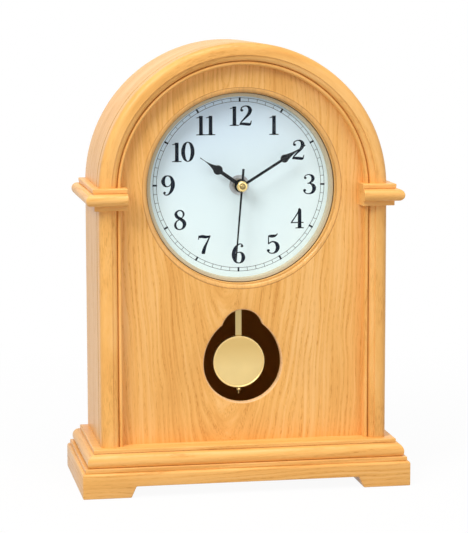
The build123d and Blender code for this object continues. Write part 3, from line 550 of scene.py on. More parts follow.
def swept(name, section, stations, material, low_cut=None, **kw):
    """A section of radius and depth carried along stations of the arch, with a map that follows it."""
    rings = [[(x + r * dx, y, z + r * dz) for r, y in section] for (x, z), (dx, dz) in stations]
    way, across = [0.0], [0.0]
    for before, after in zip(rings, rings[1:]):
        way.append(way[-1] + math.dist(before[0], after[0]))
    for before, after in zip(section, section[1:]):
        across.append(across[-1] + math.dist(before, after))
    uvs = [(u, v) for u in way for v in across]
    verts, faces = rings_to_mesh(rings, True, False, caps=True)
    piece = new_piece(name, verts, faces, [material], uvs=uvs, **kw)
    if low_cut is not None:
        with edited(piece.data) as work:
            every = work.verts[:] + work.edges[:] + work.faces[:]
            plane = {"plane_co": (0, 0, low_cut), "plane_no": (0, 0, -1)}
            cut = bmesh.ops.bisect_plane(work, geom=every, clear_outer=True, **plane)
            rim = [g for g in cut["geom_cut"] if isinstance(g, bmesh.types.BMEdge)]
            bmesh.ops.edgeloop_fill(work, edges=rim)
    return piece


def frame_section():
    """The front moulding: rounded edge, flat, quirk, ovolo, quirk and bead, as radius and depth."""
    edge = arc((5.2, 5.2), 5.2, 180, 270, 9)
    first_quirk = [(8.6, 0.0), (8.8, 0.15), (8.95, 0.95), (9.2, 1.0)]
    ovolo = arc((9.3, 4.5), 3.5, 272, 352, 9)
    second_quirk = [(12.8, 4.9), (12.95, 5.3), (13.1, 5.0)]
    bead = arc((14.5, 4.9), (1.4, 2.0), 180, 360, 9)
    seam = sizes().seam_round / MM
    back = [(16.0, 5.2), (16.0, 10.5), (10.0, 10.5), (10.0, 16.0), (seam, 16.0), (0.0, 16.0 - seam)]
    section = [*edge, *first_quirk, *ovolo, *second_quirk, *bead, *back]
    return [(CASE_HALF - inset * MM, FRAME_Y + depth * MM) for inset, depth in section]


def plate_with_holes(name, outer, holes, front, back, rounds, material, **kw):
    """A flat board in the front view, its front edges rounded. Outlines are points and inward normals."""
    verts, faces, front_loops, back_loops = [], [], [], []
    for outline, round_size in zip([outer, *holes], rounds):
        steps = 5 if round_size else 1
        rings = [[(x, back, z) for (x, z), _ in outline]]
        for k in range(steps):
            turn = math.pi / 2 * k / (steps - 1) if round_size else 0.0
            shift = round_size * (1 - math.cos(turn))
            depth = front + round_size * (1 - math.sin(turn))
            rings.append([(x + nx * shift, depth, z + nz * shift) for (x, z), (nx, nz) in outline])
        start, count = len(verts), len(outline)
        ring_verts, ring_faces = rings_to_mesh(rings, True, False)
        verts += ring_verts
        faces += [tuple(start + i for i in face) for face in ring_faces]
        back_loops.append(list(range(start, start + count)))
        front_loops.append(list(range(start + count * (len(rings) - 1), start + count * len(rings))))
    for loops in (back_loops, front_loops):
        flat = [i for loop in loops for i in loop]
        outlines = [[Vector((verts[i][0], verts[i][2], 0)) for i in loop] for loop in loops]
        faces += [tuple(flat[k] for k in triangle) for triangle in tessellate_polygon(outlines)]
    return new_piece(name, verts, faces, [material], **kw)


def with_normals(points, inwards):
    """A closed outline's points with unit normals. inwards is 1 if the wood lies inside the outline."""
    pairs = list(zip(points, [*points[1:], points[0]]))
    area = sum(a[0] * b[1] - b[0] * a[1] for a, b in pairs)
    side = inwards if area > 0 else -inwards
    out = []
    for i, (point, after) in enumerate(pairs):
        before = points[i - 1]
        tx, tz = after[0] - before[0], after[1] - before[1]
        length = math.hypot(tx, tz)
        out.append((point, (-tz / length * side, tx / length * side)))
    return out


def arch_outline(half, bottom):
    """The arch's front view outline."""
    return [(half, bottom), *arc((0.0, ARCH_Z), half, 0, 180, 72), (-half, bottom)]


def window_outline():
    """The keyhole window: round foot, flatter flanks, rounded notches and a round lobe."""
    foot, flank, lobe, rise, notch = (v * MM for v in (28.4, 35.5, 15.2, 23.9, 1.8))
    height_of_foot = 89.6 * MM
    offset = flank - foot
    reach_a, reach_b = flank + notch, lobe + notch
    gap = math.hypot(offset, rise)
    share = (reach_a**2 - reach_b**2 + gap**2) / (2 * gap)
    height = math.sqrt(reach_a**2 - share**2)
    ux, uz = offset / gap, rise / gap
    corner = (-offset + ux * share + uz * height, uz * share - ux * height)
    flank_end = math.degrees(math.atan2(corner[1], corner[0] + offset))
    lobe_start = math.degrees(math.atan2(corner[1] - rise, corner[0]))
    right = arc((0.0, 0.0), foot, -90, 0, 30)
    right += arc((-offset, 0.0), flank, 0, flank_end, 14)[1:]
    right += arc(corner, notch, flank_end + 180, lobe_start + 180, 8)[1:]
    right += arc((0.0, rise), lobe, lobe_start, 90, 24)[1:]
    left = [(-x, z) for x, z in reversed(right[1:-1])]
    return [(x, z + height_of_foot) for x, z in right + left]


# Geometry Nodes


def node_group(name, inputs):
    """An empty Geometry Nodes tree with named inputs, its wiring and its input node."""
    tree = bpy.data.node_groups.new(name, "GeometryNodeTree")
    tree.interface.new_socket("Geometry", in_out="INPUT", socket_type="NodeSocketGeometry")
    for label, kind in inputs.items():
        tree.interface.new_socket(label, in_out="INPUT", socket_type=f"NodeSocket{kind}")
    tree.interface.new_socket("Geometry", in_out="OUTPUT", socket_type="NodeSocketGeometry")
    wiring = Wiring(tree)
    return tree, wiring, wiring.add("NodeGroupInput").outputs


def close_tree(w, points, instance, material, rotation=(0.0, 0.0, 0.0)):
    """Puts an instance on every point, realizes them, sets the material and ends the tree."""
    place = w.add("GeometryNodeInstanceOnPoints")
    for label, value in (("Points", points), ("Instance", instance), ("Rotation", rotation)):
        w.feed(place.inputs[label], value)
    real = w.add("GeometryNodeRealizeInstances")
    w.feed(real.inputs[0], place.outputs[0])
    paint = w.add("GeometryNodeSetMaterial")
    w.feed(paint.inputs["Geometry"], real.outputs[0])
    w.feed(paint.inputs["Material"], material)
    w.feed(w.add("NodeGroupOutput").inputs[0], paint.outputs[0])


def grown(name, tree, values, body, base=None):
    """A plain mesh piece made by a Geometry Nodes tree with these input values."""
    start = base or bpy.data.meshes.new(name + "_start")
    maker = placed(name + "_maker", start)
    modifier = maker.modifiers.new("nodes", "NODES")
    modifier.node_group = tree
    for item in tree.interface.items_tree:
        if item.in_out == "INPUT" and item.name in values:
            modifier[item.identifier] = values[item.name]
    view = bpy.context.evaluated_depsgraph_get()
    mesh = bpy.data.meshes.new_from_object(maker.evaluated_get(view), depsgraph=view)
    maker.modifiers.remove(modifier)
    bpy.data.objects.remove(maker)
    bpy.data.meshes.remove(start)
    mesh.name = name
    smoothed(mesh)
    return carried(placed(name, mesh), body)


def track_tree():
    """Marks spread evenly round the dial: count, radius, width along the circle and height across it."""
    lengths = dict.fromkeys(("Radius", "Width", "Height", "Turn", "Depth", "Centre Z"), "Float")
    tree, w, given = node_group("dial marks", {"Count": "Int", **lengths, "Material": "Material"})
    share = w.sum("DIVIDE", w.add("GeometryNodeInputIndex").outputs[0], given["Count"])
    turn = w.plus(w.times(share, 2 * math.pi), given["Turn"])
    x = w.times(w.sum("SINE", turn), given["Radius"])
    z = w.plus(w.times(w.sum("COSINE", turn), given["Radius"]), given["Centre Z"])
    points = w.add("GeometryNodePoints")
    w.feed(points.inputs["Count"], given["Count"])
    w.feed(points.inputs["Position"], w.vector(x, given["Depth"], z))
    mark = w.add("GeometryNodeMeshGrid")
    for label, value in (("Size X", "Width"), ("Size Y", "Height")):
        w.feed(mark.inputs[label], given[value])
        mark.inputs[label.replace("Size", "Vertices")].default_value = 2
    spin = w.filled(w.add("FunctionNodeEulerToRotation"), [w.vector(math.pi / 2, turn, 0.0)])
    close_tree(w, points.outputs[0], mark.outputs[0], given["Material"], spin)
    return tree


def copies_tree():
    """A copy of one object on every vertex of the base mesh."""
    tree, w, given = node_group("placed copies", {"Piece": "Object", "Material": "Material"})
    info = w.add("GeometryNodeObjectInfo")
    w.feed(info.inputs["Object"], given["Piece"])
    close_tree(w, given["Geometry"], info.outputs["Geometry"], given["Material"])
    return tree


def repeated(name, template, places, material, body):
    """A template mesh copied to many places, as one piece. The template is used up."""
    base = bpy.data.meshes.new(name + "_places")
    base.from_pydata(places, [], [])
    source = placed(name + "_template", template)
    piece = grown(name, copies_tree(), {"Piece": source, "Material": material}, body, base)
    bpy.data.objects.remove(source)
    bpy.data.meshes.remove(template)
    return piece


def screw_head(radius, height, slot_width, slot_depth, crossed=False, top_down=False):
    """A flat countersunk head at the origin, with one slot or two crossed. Its top looks along +Y or -Z."""
    section = [(0.55 * radius, -height), (radius, -0.12 * height), (0.93 * radius, 0.0)]
    steps = 32
    turns = [2 * math.pi * i / steps for i in range(steps)]
    rings = [[(r * math.cos(turn), y, r * math.sin(turn)) for turn in turns] for r, y in section]
    verts, faces = rings_to_mesh(rings, True, False, caps=True)
    mesh = bpy.data.meshes.new("screw head")
    mesh.from_pydata(verts, [], faces)
    cleaned(mesh)
    head = placed("head", mesh)
    reach = radius * (0.62 if crossed else 1.3)
    blades = [(reach, slot_depth, slot_width / 2), (slot_width / 2, slot_depth, reach)]
    for half in blades if crossed else blades[:1]:
        knife = bpy.data.meshes.new("slot")
        with edited(knife) as work:
            bmesh.ops.create_cube(work, size=2.0)
            bmesh.ops.scale(work, vec=half, verts=work.verts)
        blade = placed("slot", knife)
        modifier = head.modifiers.new("slot", "BOOLEAN")
        modifier.solver = "EXACT"
        modifier.object = blade
        view = bpy.context.evaluated_depsgraph_get()
        result = bpy.data.meshes.new_from_object(head.evaluated_get(view), depsgraph=view)
        head.modifiers.remove(modifier)
        head.data = result
        bpy.data.objects.remove(blade)
        bpy.data.meshes.remove(knife)
    made = head.data
    bpy.data.objects.remove(head)
    if top_down:
        for vert in made.vertices:
            vert.co = (vert.co.x, vert.co.z, -vert.co.y)
        cleaned(made)
    return made


# Figures: brush strokes of x, y and width, as shares of the figure's height, and round terminals

FIGURE_BREADTH = 1.2
FIGURE_GAP = 0.42
FIGURE_GAP_OF_11 = 0.41
FIGURE_SHIFTS_OF_10_AND_12 = (-0.03, 0.04)
STROKE_BOLDER, STROKE_WIDER = 1.15, 0.014

# How far out some hours stand on the figures' circle, and how far the dial is turned in its case
FIGURE_REACH_SHARES = {3: 1.03, 9: 1.04, 10: 0.967}
DIAL_TURN = math.radians(0.5)

FIGURES = {
    "0": (
        [[
            (0, 0.985, 0.03), (0.12, 0.89, 0.085), (0.185, 0.68, 0.125), (0.2, 0.5, 0.13),
            (0.185, 0.32, 0.125), (0.12, 0.11, 0.085), (0, 0.015, 0.03), (-0.12, 0.11, 0.085),
            (-0.185, 0.32, 0.125), (-0.2, 0.5, 0.13), (-0.185, 0.68, 0.125), (-0.12, 0.89, 0.085),
            (0, 0.985, 0.03),
        ]],
        [],
    ),
    "1": (
        [
            [(0.02, 0.03, 0.125), (0.02, 0.5, 0.12), (0.02, 0.965, 0.12)],
            [(-0.17, 0.865, 0.022), (-0.08, 0.885, 0.03), (-0.01, 0.935, 0.06)],
            [
                (-0.18, 0.013, 0.028), (-0.08, 0.018, 0.035), (0.02, 0.035, 0.08), (0.12, 0.018, 0.035),
                (0.22, 0.013, 0.028),
            ],
        ],
        [],
    ),
    "2": (
        [
            [
                (-0.2, 0.75, 0.03), (-0.155, 0.91, 0.035), (0.0, 0.985, 0.035), (0.14, 0.93, 0.09),
                (0.2, 0.77, 0.13), (0.14, 0.58, 0.11), (-0.02, 0.37, 0.065), (-0.16, 0.2, 0.045),
                (-0.24, 0.04, 0.035),
            ],
            [
                (-0.24, 0.055, 0.05), (-0.13, 0.085, 0.1), (0.02, 0.072, 0.115), (0.15, 0.055, 0.11),
                (0.225, 0.075, 0.07),
            ],
            [(0.215, 0.06, 0.04), (0.255, 0.24, 0.02)],
        ],
        [(-0.15, 0.765, 0.062)],
    ),
    "3": (
        [
            [
                (-0.19, 0.83, 0.03), (-0.13, 0.945, 0.03), (0.0, 0.985, 0.035), (0.13, 0.93, 0.085),
                (0.185, 0.79, 0.115), (0.13, 0.635, 0.08), (0.0, 0.55, 0.035), (-0.06, 0.54, 0.03),
            ],
            [
                (-0.04, 0.545, 0.03), (0.08, 0.53, 0.05), (0.195, 0.43, 0.115), (0.235, 0.27, 0.135),
                (0.165, 0.085, 0.095), (0.02, 0.012, 0.04), (-0.13, 0.045, 0.035), (-0.215, 0.17, 0.04),
            ],
        ],
        [(-0.15, 0.815, 0.058), (-0.175, 0.19, 0.066)],
    ),
    "4": (
        [
            [(0.1, 0.03, 0.125), (0.1, 0.5, 0.12), (0.1, 0.93, 0.11), (0.11, 0.99, 0.05)],
            [(0.12, 0.98, 0.035), (-0.07, 0.62, 0.035), (-0.265, 0.285, 0.035)],
            [(-0.28, 0.29, 0.036), (0.27, 0.29, 0.036)],
            [
                (-0.08, 0.013, 0.028), (0.02, 0.018, 0.035), (0.1, 0.035, 0.08), (0.18, 0.018, 0.035),
                (0.28, 0.013, 0.028),
            ],
        ],
        [],
    ),
    "5": (
        [
            [
                (-0.16, 0.9, 0.07), (-0.05, 0.89, 0.12), (0.07, 0.9, 0.11), (0.17, 0.95, 0.045),
                (0.22, 1.02, 0.02),
            ],
            [(-0.165, 0.93, 0.03), (-0.175, 0.49, 0.03)],
            [
                (-0.175, 0.485, 0.03), (-0.07, 0.585, 0.04), (0.06, 0.6, 0.06), (0.18, 0.5, 0.115),
                (0.23, 0.31, 0.135), (0.165, 0.11, 0.1), (0.03, 0.015, 0.04), (-0.11, 0.035, 0.035),
                (-0.215, 0.14, 0.04),
            ],
        ],
        [(-0.175, 0.165, 0.064)],
    ),
    "6": (
        [[
            (0.185, 0.87, 0.03), (0.12, 0.97, 0.032), (0.0, 0.965, 0.045), (-0.12, 0.82, 0.095),
            (-0.2, 0.58, 0.13), (-0.205, 0.33, 0.13), (-0.13, 0.09, 0.08), (0.0, 0.012, 0.035),
            (0.135, 0.07, 0.08), (0.205, 0.28, 0.13), (0.15, 0.49, 0.085), (0.03, 0.56, 0.035),
            (-0.09, 0.5, 0.03), (-0.16, 0.36, 0.03),
        ]],
        [(0.145, 0.865, 0.058)],
    ),
    "7": (
        [
            [
                (-0.235, 0.9, 0.09), (-0.11, 0.925, 0.12), (0.04, 0.895, 0.12), (0.19, 0.925, 0.06),
                (0.235, 0.965, 0.03),
            ],
            [(-0.27, 0.76, 0.02), (-0.235, 0.98, 0.035)],
            [
                (0.235, 0.965, 0.035), (0.12, 0.66, 0.055), (0.01, 0.38, 0.095), (-0.05, 0.14, 0.125),
                (-0.06, 0.03, 0.11),
            ],
        ],
        [],
    ),
    "8": (
        [[
            (0.01, 0.985, 0.035), (-0.12, 0.92, 0.06), (-0.165, 0.79, 0.1), (-0.1, 0.645, 0.115),
            (0.03, 0.545, 0.115), (0.16, 0.42, 0.125), (0.2, 0.26, 0.12), (0.13, 0.08, 0.07),
            (0.0, 0.012, 0.035), (-0.135, 0.07, 0.06), (-0.195, 0.23, 0.075), (-0.15, 0.4, 0.05),
            (-0.02, 0.52, 0.03), (0.11, 0.63, 0.03), (0.165, 0.78, 0.06), (0.12, 0.92, 0.055),
            (0.01, 0.985, 0.035),
        ]],
        [],
    ),
}


def figure_shapes(figure):
    """A figure's strokes and dots. Nine is six upside down."""
    if figure != "9":
        return FIGURES[figure]
    strokes, dots = FIGURES["6"]

    def upside_down(points):
        return [(-x, 1 - y, width) for x, y, width in points]

    return [upside_down(stroke) for stroke in strokes], upside_down(dots)


def smooth_stroke(points, steps=7):
    """More points along a stroke, on a curve through the given ones."""
    if len(points) < 3:
        return points
    ends = [points[0], *points, points[-1]]
    if points[0] == points[-1]:
        ends = [points[-2], *points, points[1]]
    out = []
    for knots in zip(ends, ends[1:], ends[2:], ends[3:]):
        for i in range(steps):
            t = i / steps
            point = []
            for a, b, c, d in zip(*knots):
                bend = 2 * a - 5 * b + 4 * c - d
                twist = 3 * b - a - 3 * c + d
                point.append(0.5 * (2 * b + (c - a) * t + bend * t * t + twist * t**3))
            out.append(tuple(point))
    out.append(points[-1])
    return out


def stroke_strip(points, verts, faces, place):
    """Adds a stroke's strip of faces, a little bolder than it is written."""
    start = len(verts)
    for i, (x, y, width) in enumerate(points):
        width = STROKE_BOLDER * width + STROKE_WIDER
        before, after = points[max(i - 1, 0)], points[min(i + 1, len(points) - 1)]
        if points[0] == points[-1] and i in (0, len(points) - 1):
            before, after = points[-2], points[1]
        tx, ty = after[0] - before[0], after[1] - before[1]
        length = math.hypot(tx, ty)
        nx, ny = -ty / length * width / 2, tx / length * width / 2
        verts += [place(x + nx, y + ny), place(x - nx, y - ny)]
    for k in range(start, start + 2 * len(points) - 2, 2):
        faces.append((k, k + 1, k + 3, k + 2))


def draw_figures(name, text, centre, height, depth, material):
    """One hour's figures as thin print on the dial."""
    gap = FIGURE_GAP_OF_11 if text == "11" else FIGURE_GAP
    verts, faces = [], []
    for i, figure in enumerate(text):
        shift = (i - (len(text) - 1) / 2) * gap
        if text in ("10", "12"):
            shift += FIGURE_SHIFTS_OF_10_AND_12[i]
        strokes, dots = figure_shapes(figure)

        def place(x, y, shift=shift):
            return (centre[0] + (x + shift) * height * FIGURE_BREADTH, depth, centre[1] + (y - 0.5) * height)

        for stroke in strokes:
            stroke_strip(smooth_stroke(stroke), verts, faces, place)
        for x, y, radius in dots:
            faces.append(tuple(range(len(verts), len(verts) + 16)))
            verts += [place(*point) for point in arc((x, y), radius, 0, 337.5, 15)]
    mesh = bpy.data.meshes.new(name)
    mesh.from_pydata(verts, [], faces)
    mesh.materials.append(material)
    with edited(mesh) as work:
        for face in work.faces:
            face.normal_update()
            if face.normal.y > 0:
                face.normal_flip()
    return carried(placed(name, mesh), "case")


# Operators


class CLOCK_OT_case(bpy.types.Operator):
    """Makes the arched band, the front moulding and the impost blocks"""

    bl_idname = "clock.case"
    bl_label = "Case and mouldings"

    def execute(self, context):
        self.band()
        moulding = oak("oak moulding", "UV", pith=(0.0, 0.08, 0.02), figure=1.1, shift=0.37)
        swept(
            "arch_moulding", frame_section(), arch_head(), moulding, low_cut=IMPOST_TOP, node="front_arch",
            slot="oak_frame",
        )
        # Painted light: the left stile's colours are 7% lighter than the right's, for the key lamp's light
        # from the left
        for side, label, shift, light in ((-1, "left", 0.55, 1.07), (1, "right", 0.37, 1.0)):
            legs = [((0.0, z), (side, 0.0)) for z in (BASE_TOP, IMPOST_BOTTOM)]
            wood = oak(f"oak stile {label}", "UV", (0.01, 0.07, 0.03), light=light, figure=1.1, shift=shift)
            name, node = f"stile_moulding_{label}", f"stile_{label}"
            swept(name, frame_section(), legs, wood, node=node, slot="oak_frame")
            self.impost(side, label)
        return {"FINISHED"}

    def band(self):
        """The sides and the arched top, with a rebate for the door and painted shade in the seam behind the
        moulding.
        """
        soft, front = sizes().seam_round, PANEL_BACK_Y + 0.4 * MM
        inner, groove = CASE_HALF - 10 * MM, CASE_HALF - 1.8 * MM
        rebate, ledge = inner + 4 * MM, CASE_BACK_Y - 4.2 * MM
        section = [
            (CASE_HALF, front + soft), (CASE_HALF, CASE_BACK_Y - soft), (CASE_HALF - soft, CASE_BACK_Y),
            (rebate, CASE_BACK_Y), (rebate, ledge), (inner, ledge), (inner, PANEL_BACK_Y),
            (groove, PANEL_BACK_Y), (groove, front), (CASE_HALF - soft, front),
        ]
        # Painted shade: the band's front chamfer is darkened for the shadow in the seam behind the moulding
        wood = oak("oak band", "UV", pith=(0.03, 0.05, 0.03), joint=front + 0.8 * soft)
        stations = [((0.0, BASE_TOP), (-1.0, 0.0)), *arch_head(), ((0.0, BASE_TOP), (1.0, 0.0))]
        swept("case_band", section, stations, wood, node="case_shell", slot="oak_shell")

    def impost(self, side, label):
        """The block whose neck, torus, quirk and fillet turn the corner and run back along the side."""
        x_wood = oak(f"oak impost front {label}", "X", pith=(0.2, 0.06, 0.05), figure=0.8, shift=0.2 * side)
        y_wood = oak(f"oak impost side {label}", "Y", pith=(0.2, 0.06, 0.05), figure=0.8)
        neck = [(3.7, 0.0), (3.9, 0.2), (3.9, 3.2), (4.1, 3.4)]
        torus = arc((5.9, 7.7), 4.3, -90, 90, 14)
        quirk = [(4.5, 12.0), (4.3, 12.2), (4.3, 12.5), (4.5, 12.65)]
        fillet = [(4.8, 12.65), *arc((4.3, 14.9), 0.7, 0, 90, 5)]
        inner, pocket = CASE_HALF - 19.4 * MM, CASE_HALF - 5.85 * MM
        plans = []
        for reach, rise in metres([*neck, *torus, *quirk, *fillet]):
            x, y = CASE_HALF + reach, FRAME_Y - reach
            plan = [
                (inner, y), (x, y), (x, CASE_BACK_Y), (CASE_HALF, CASE_BACK_Y), (CASE_HALF, PANEL_BACK_Y),
                (pocket, PANEL_BACK_Y), (pocket, PANEL_Y), (inner, PANEL_Y),
            ]
            plans.append([(side * px, py, IMPOST_BOTTOM + rise) for px, py in plan])
        stacked(f"impost_block_{label}", plans, [x_wood, y_wood], (1, 3, 7), f"impost_{label}", "oak_frame")


class CLOCK_OT_base(bpy.types.Operator):
    """Makes the plinth with its two feet, and the moulded board on it"""

    bl_idname = "clock.base"
    bl_label = "Base"

    def execute(self, context):
        front = oak("oak base front", "X", pith=(0.05, 0.07, 0.03), figure=1.15)
        side = oak("oak base side", "Y", pith=(0.05, 0.07, 0.03))
        self.board([front, side])
        self.plinth([front, side])
        return {"FINISHED"}

    def board(self, woods):
        """The board on the plinth: step, quirk, ovolo, quirk and top fillet round its four sides."""
        low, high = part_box("base_board")
        top = (high.z - low.z) / MM
        step = [(2.5, 0.0), (2.1, 0.4), (2.1, 2.75), (2.35, 3.0), (5.6, 3.0), (5.6, 3.5)]
        quirk = [(9.6, 12.45), (9.6, 12.85), (8.9, 12.9)]
        fillet = arc((9.7, top - 0.8), 0.8, 180, 90, 5)
        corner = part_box("plinth")[1]
        plans = []
        for inset, rise in metres([*step, *self.ovolo(), *quirk, *fillet]):
            x, y, z = corner.x - inset, corner.y - inset, low.z + rise
            plans.append([(-x, -y, z), (x, -y, z), (x, y, z), (-x, y, z)])
        stacked("base_moulding", plans, woods, (1, 3), "base_board", "oak_base")

    def ovolo(self):
        """The board's swelling, an arc through its foot, its widest point and its top."""
        (ax, az), (bx, bz), (cx, cz) = (4.5, 3.55), (3.8, 6.2), (8.4, 12.4)
        d = 2 * (ax * (bz - cz) + bx * (cz - az) + cx * (az - bz))
        sa, sb, sc = ax * ax + az * az, bx * bx + bz * bz, cx * cx + cz * cz
        ox = (sa * (bz - cz) + sb * (cz - az) + sc * (az - bz)) / d
        oz = (sa * (cx - bx) + sb * (ax - cx) + sc * (bx - ax)) / d
        start = math.degrees(math.atan2(az - oz, ax - ox)) % 360
        end = math.degrees(math.atan2(cz - oz, cx - ox)) % 360
        return arc((ox, oz), math.hypot(ax - ox, az - oz), start, end, 12)

    def plinth(self, woods):
        """The lowest board: cut away below between its feet, with softened edges."""
        low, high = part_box("plinth")
        inner = high.x - 34.5 * MM
        flare, cut = inner - 3.6 * MM, 8 * MM
        view = [
            (-high.x, 0.0), (-inner, 0.0), (-flare, cut), (flare, cut), (inner, 0.0), (high.x, 0.0),
            (high.x, high.z), (-high.x, high.z),
        ]
        rings = [[(x, y, z) for x, z in view] for y in (low.y, high.y)]
        verts, faces = rings_to_mesh(rings, True, False, caps=True)
        mesh = bpy.data.meshes.new("plinth_board")
        mesh.from_pydata(verts, [], faces)
        cleaned(mesh)
        with edited(mesh) as work:
            top = [e for e in work.edges if all(v.co.z > high.z - 0.1 * MM for v in e.verts)]
            bmesh.ops.bevel(work, geom=top, offset=2.0 * MM, segments=6, affect="EDGES", profile=0.5)
            rest = [e for e in work.edges if e.is_manifold and e.calc_face_angle(0) > 0.9]
            bmesh.ops.bevel(work, geom=rest, offset=0.7 * MM, segments=3, affect="EDGES", profile=0.5)
            for face in work.faces:
                face.material_index = 1 if abs(face.normal.x) > 0.8 else 0
        for wood in woods:
            mesh.materials.append(wood)
        smoothed(mesh, 40)
        carried(placed("plinth_board", mesh), "case", "plinth")


class CLOCK_OT_panel(bpy.types.Operator):
    """Makes the veneered front panel with its dial hole and keyhole window"""

    bl_idname = "clock.panel"
    bl_label = "Front panel"

    def execute(self, context):
        veneer = oak("oak panel veneer", "Z", pith=(-0.012, 0.078, -0.15), ring=3.4 * MM, figure=1.3)
        low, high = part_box("front_panel")
        outer = with_normals(arch_outline(high.x, low.z), 1)
        hole = arc((0.0, ARCH_Z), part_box("dial_ring")[1].x + 0.15 * MM, 0, 360, 180)[:-1]
        holes = [with_normals(hole, -1), with_normals(window_outline(), -1)]
        rounds = [0.0, 0.0, sizes().window_round]
        panel = plate_with_holes(
            "panel_board", outer, holes, PANEL_Y, PANEL_BACK_Y, rounds, veneer,
            node="front_panel", slot="oak_panel",
        )
        # The window's rounded edge takes a paler wood: the paler cut edge, and a painted highlight on its
        # rounding
        panel.data.materials.append(plain_wood("window edge", colours().edge_wood, along="Y", rough=0.45))
        for face in panel.data.polygons:
            at = face.center
            in_window = abs(at.x) < 40 * MM and low.z + 10 * MM < at.z < 135 * MM
            if abs(face.normal.y) < 0.97 and in_window:
                face.material_index = 1
        return {"FINISHED"}


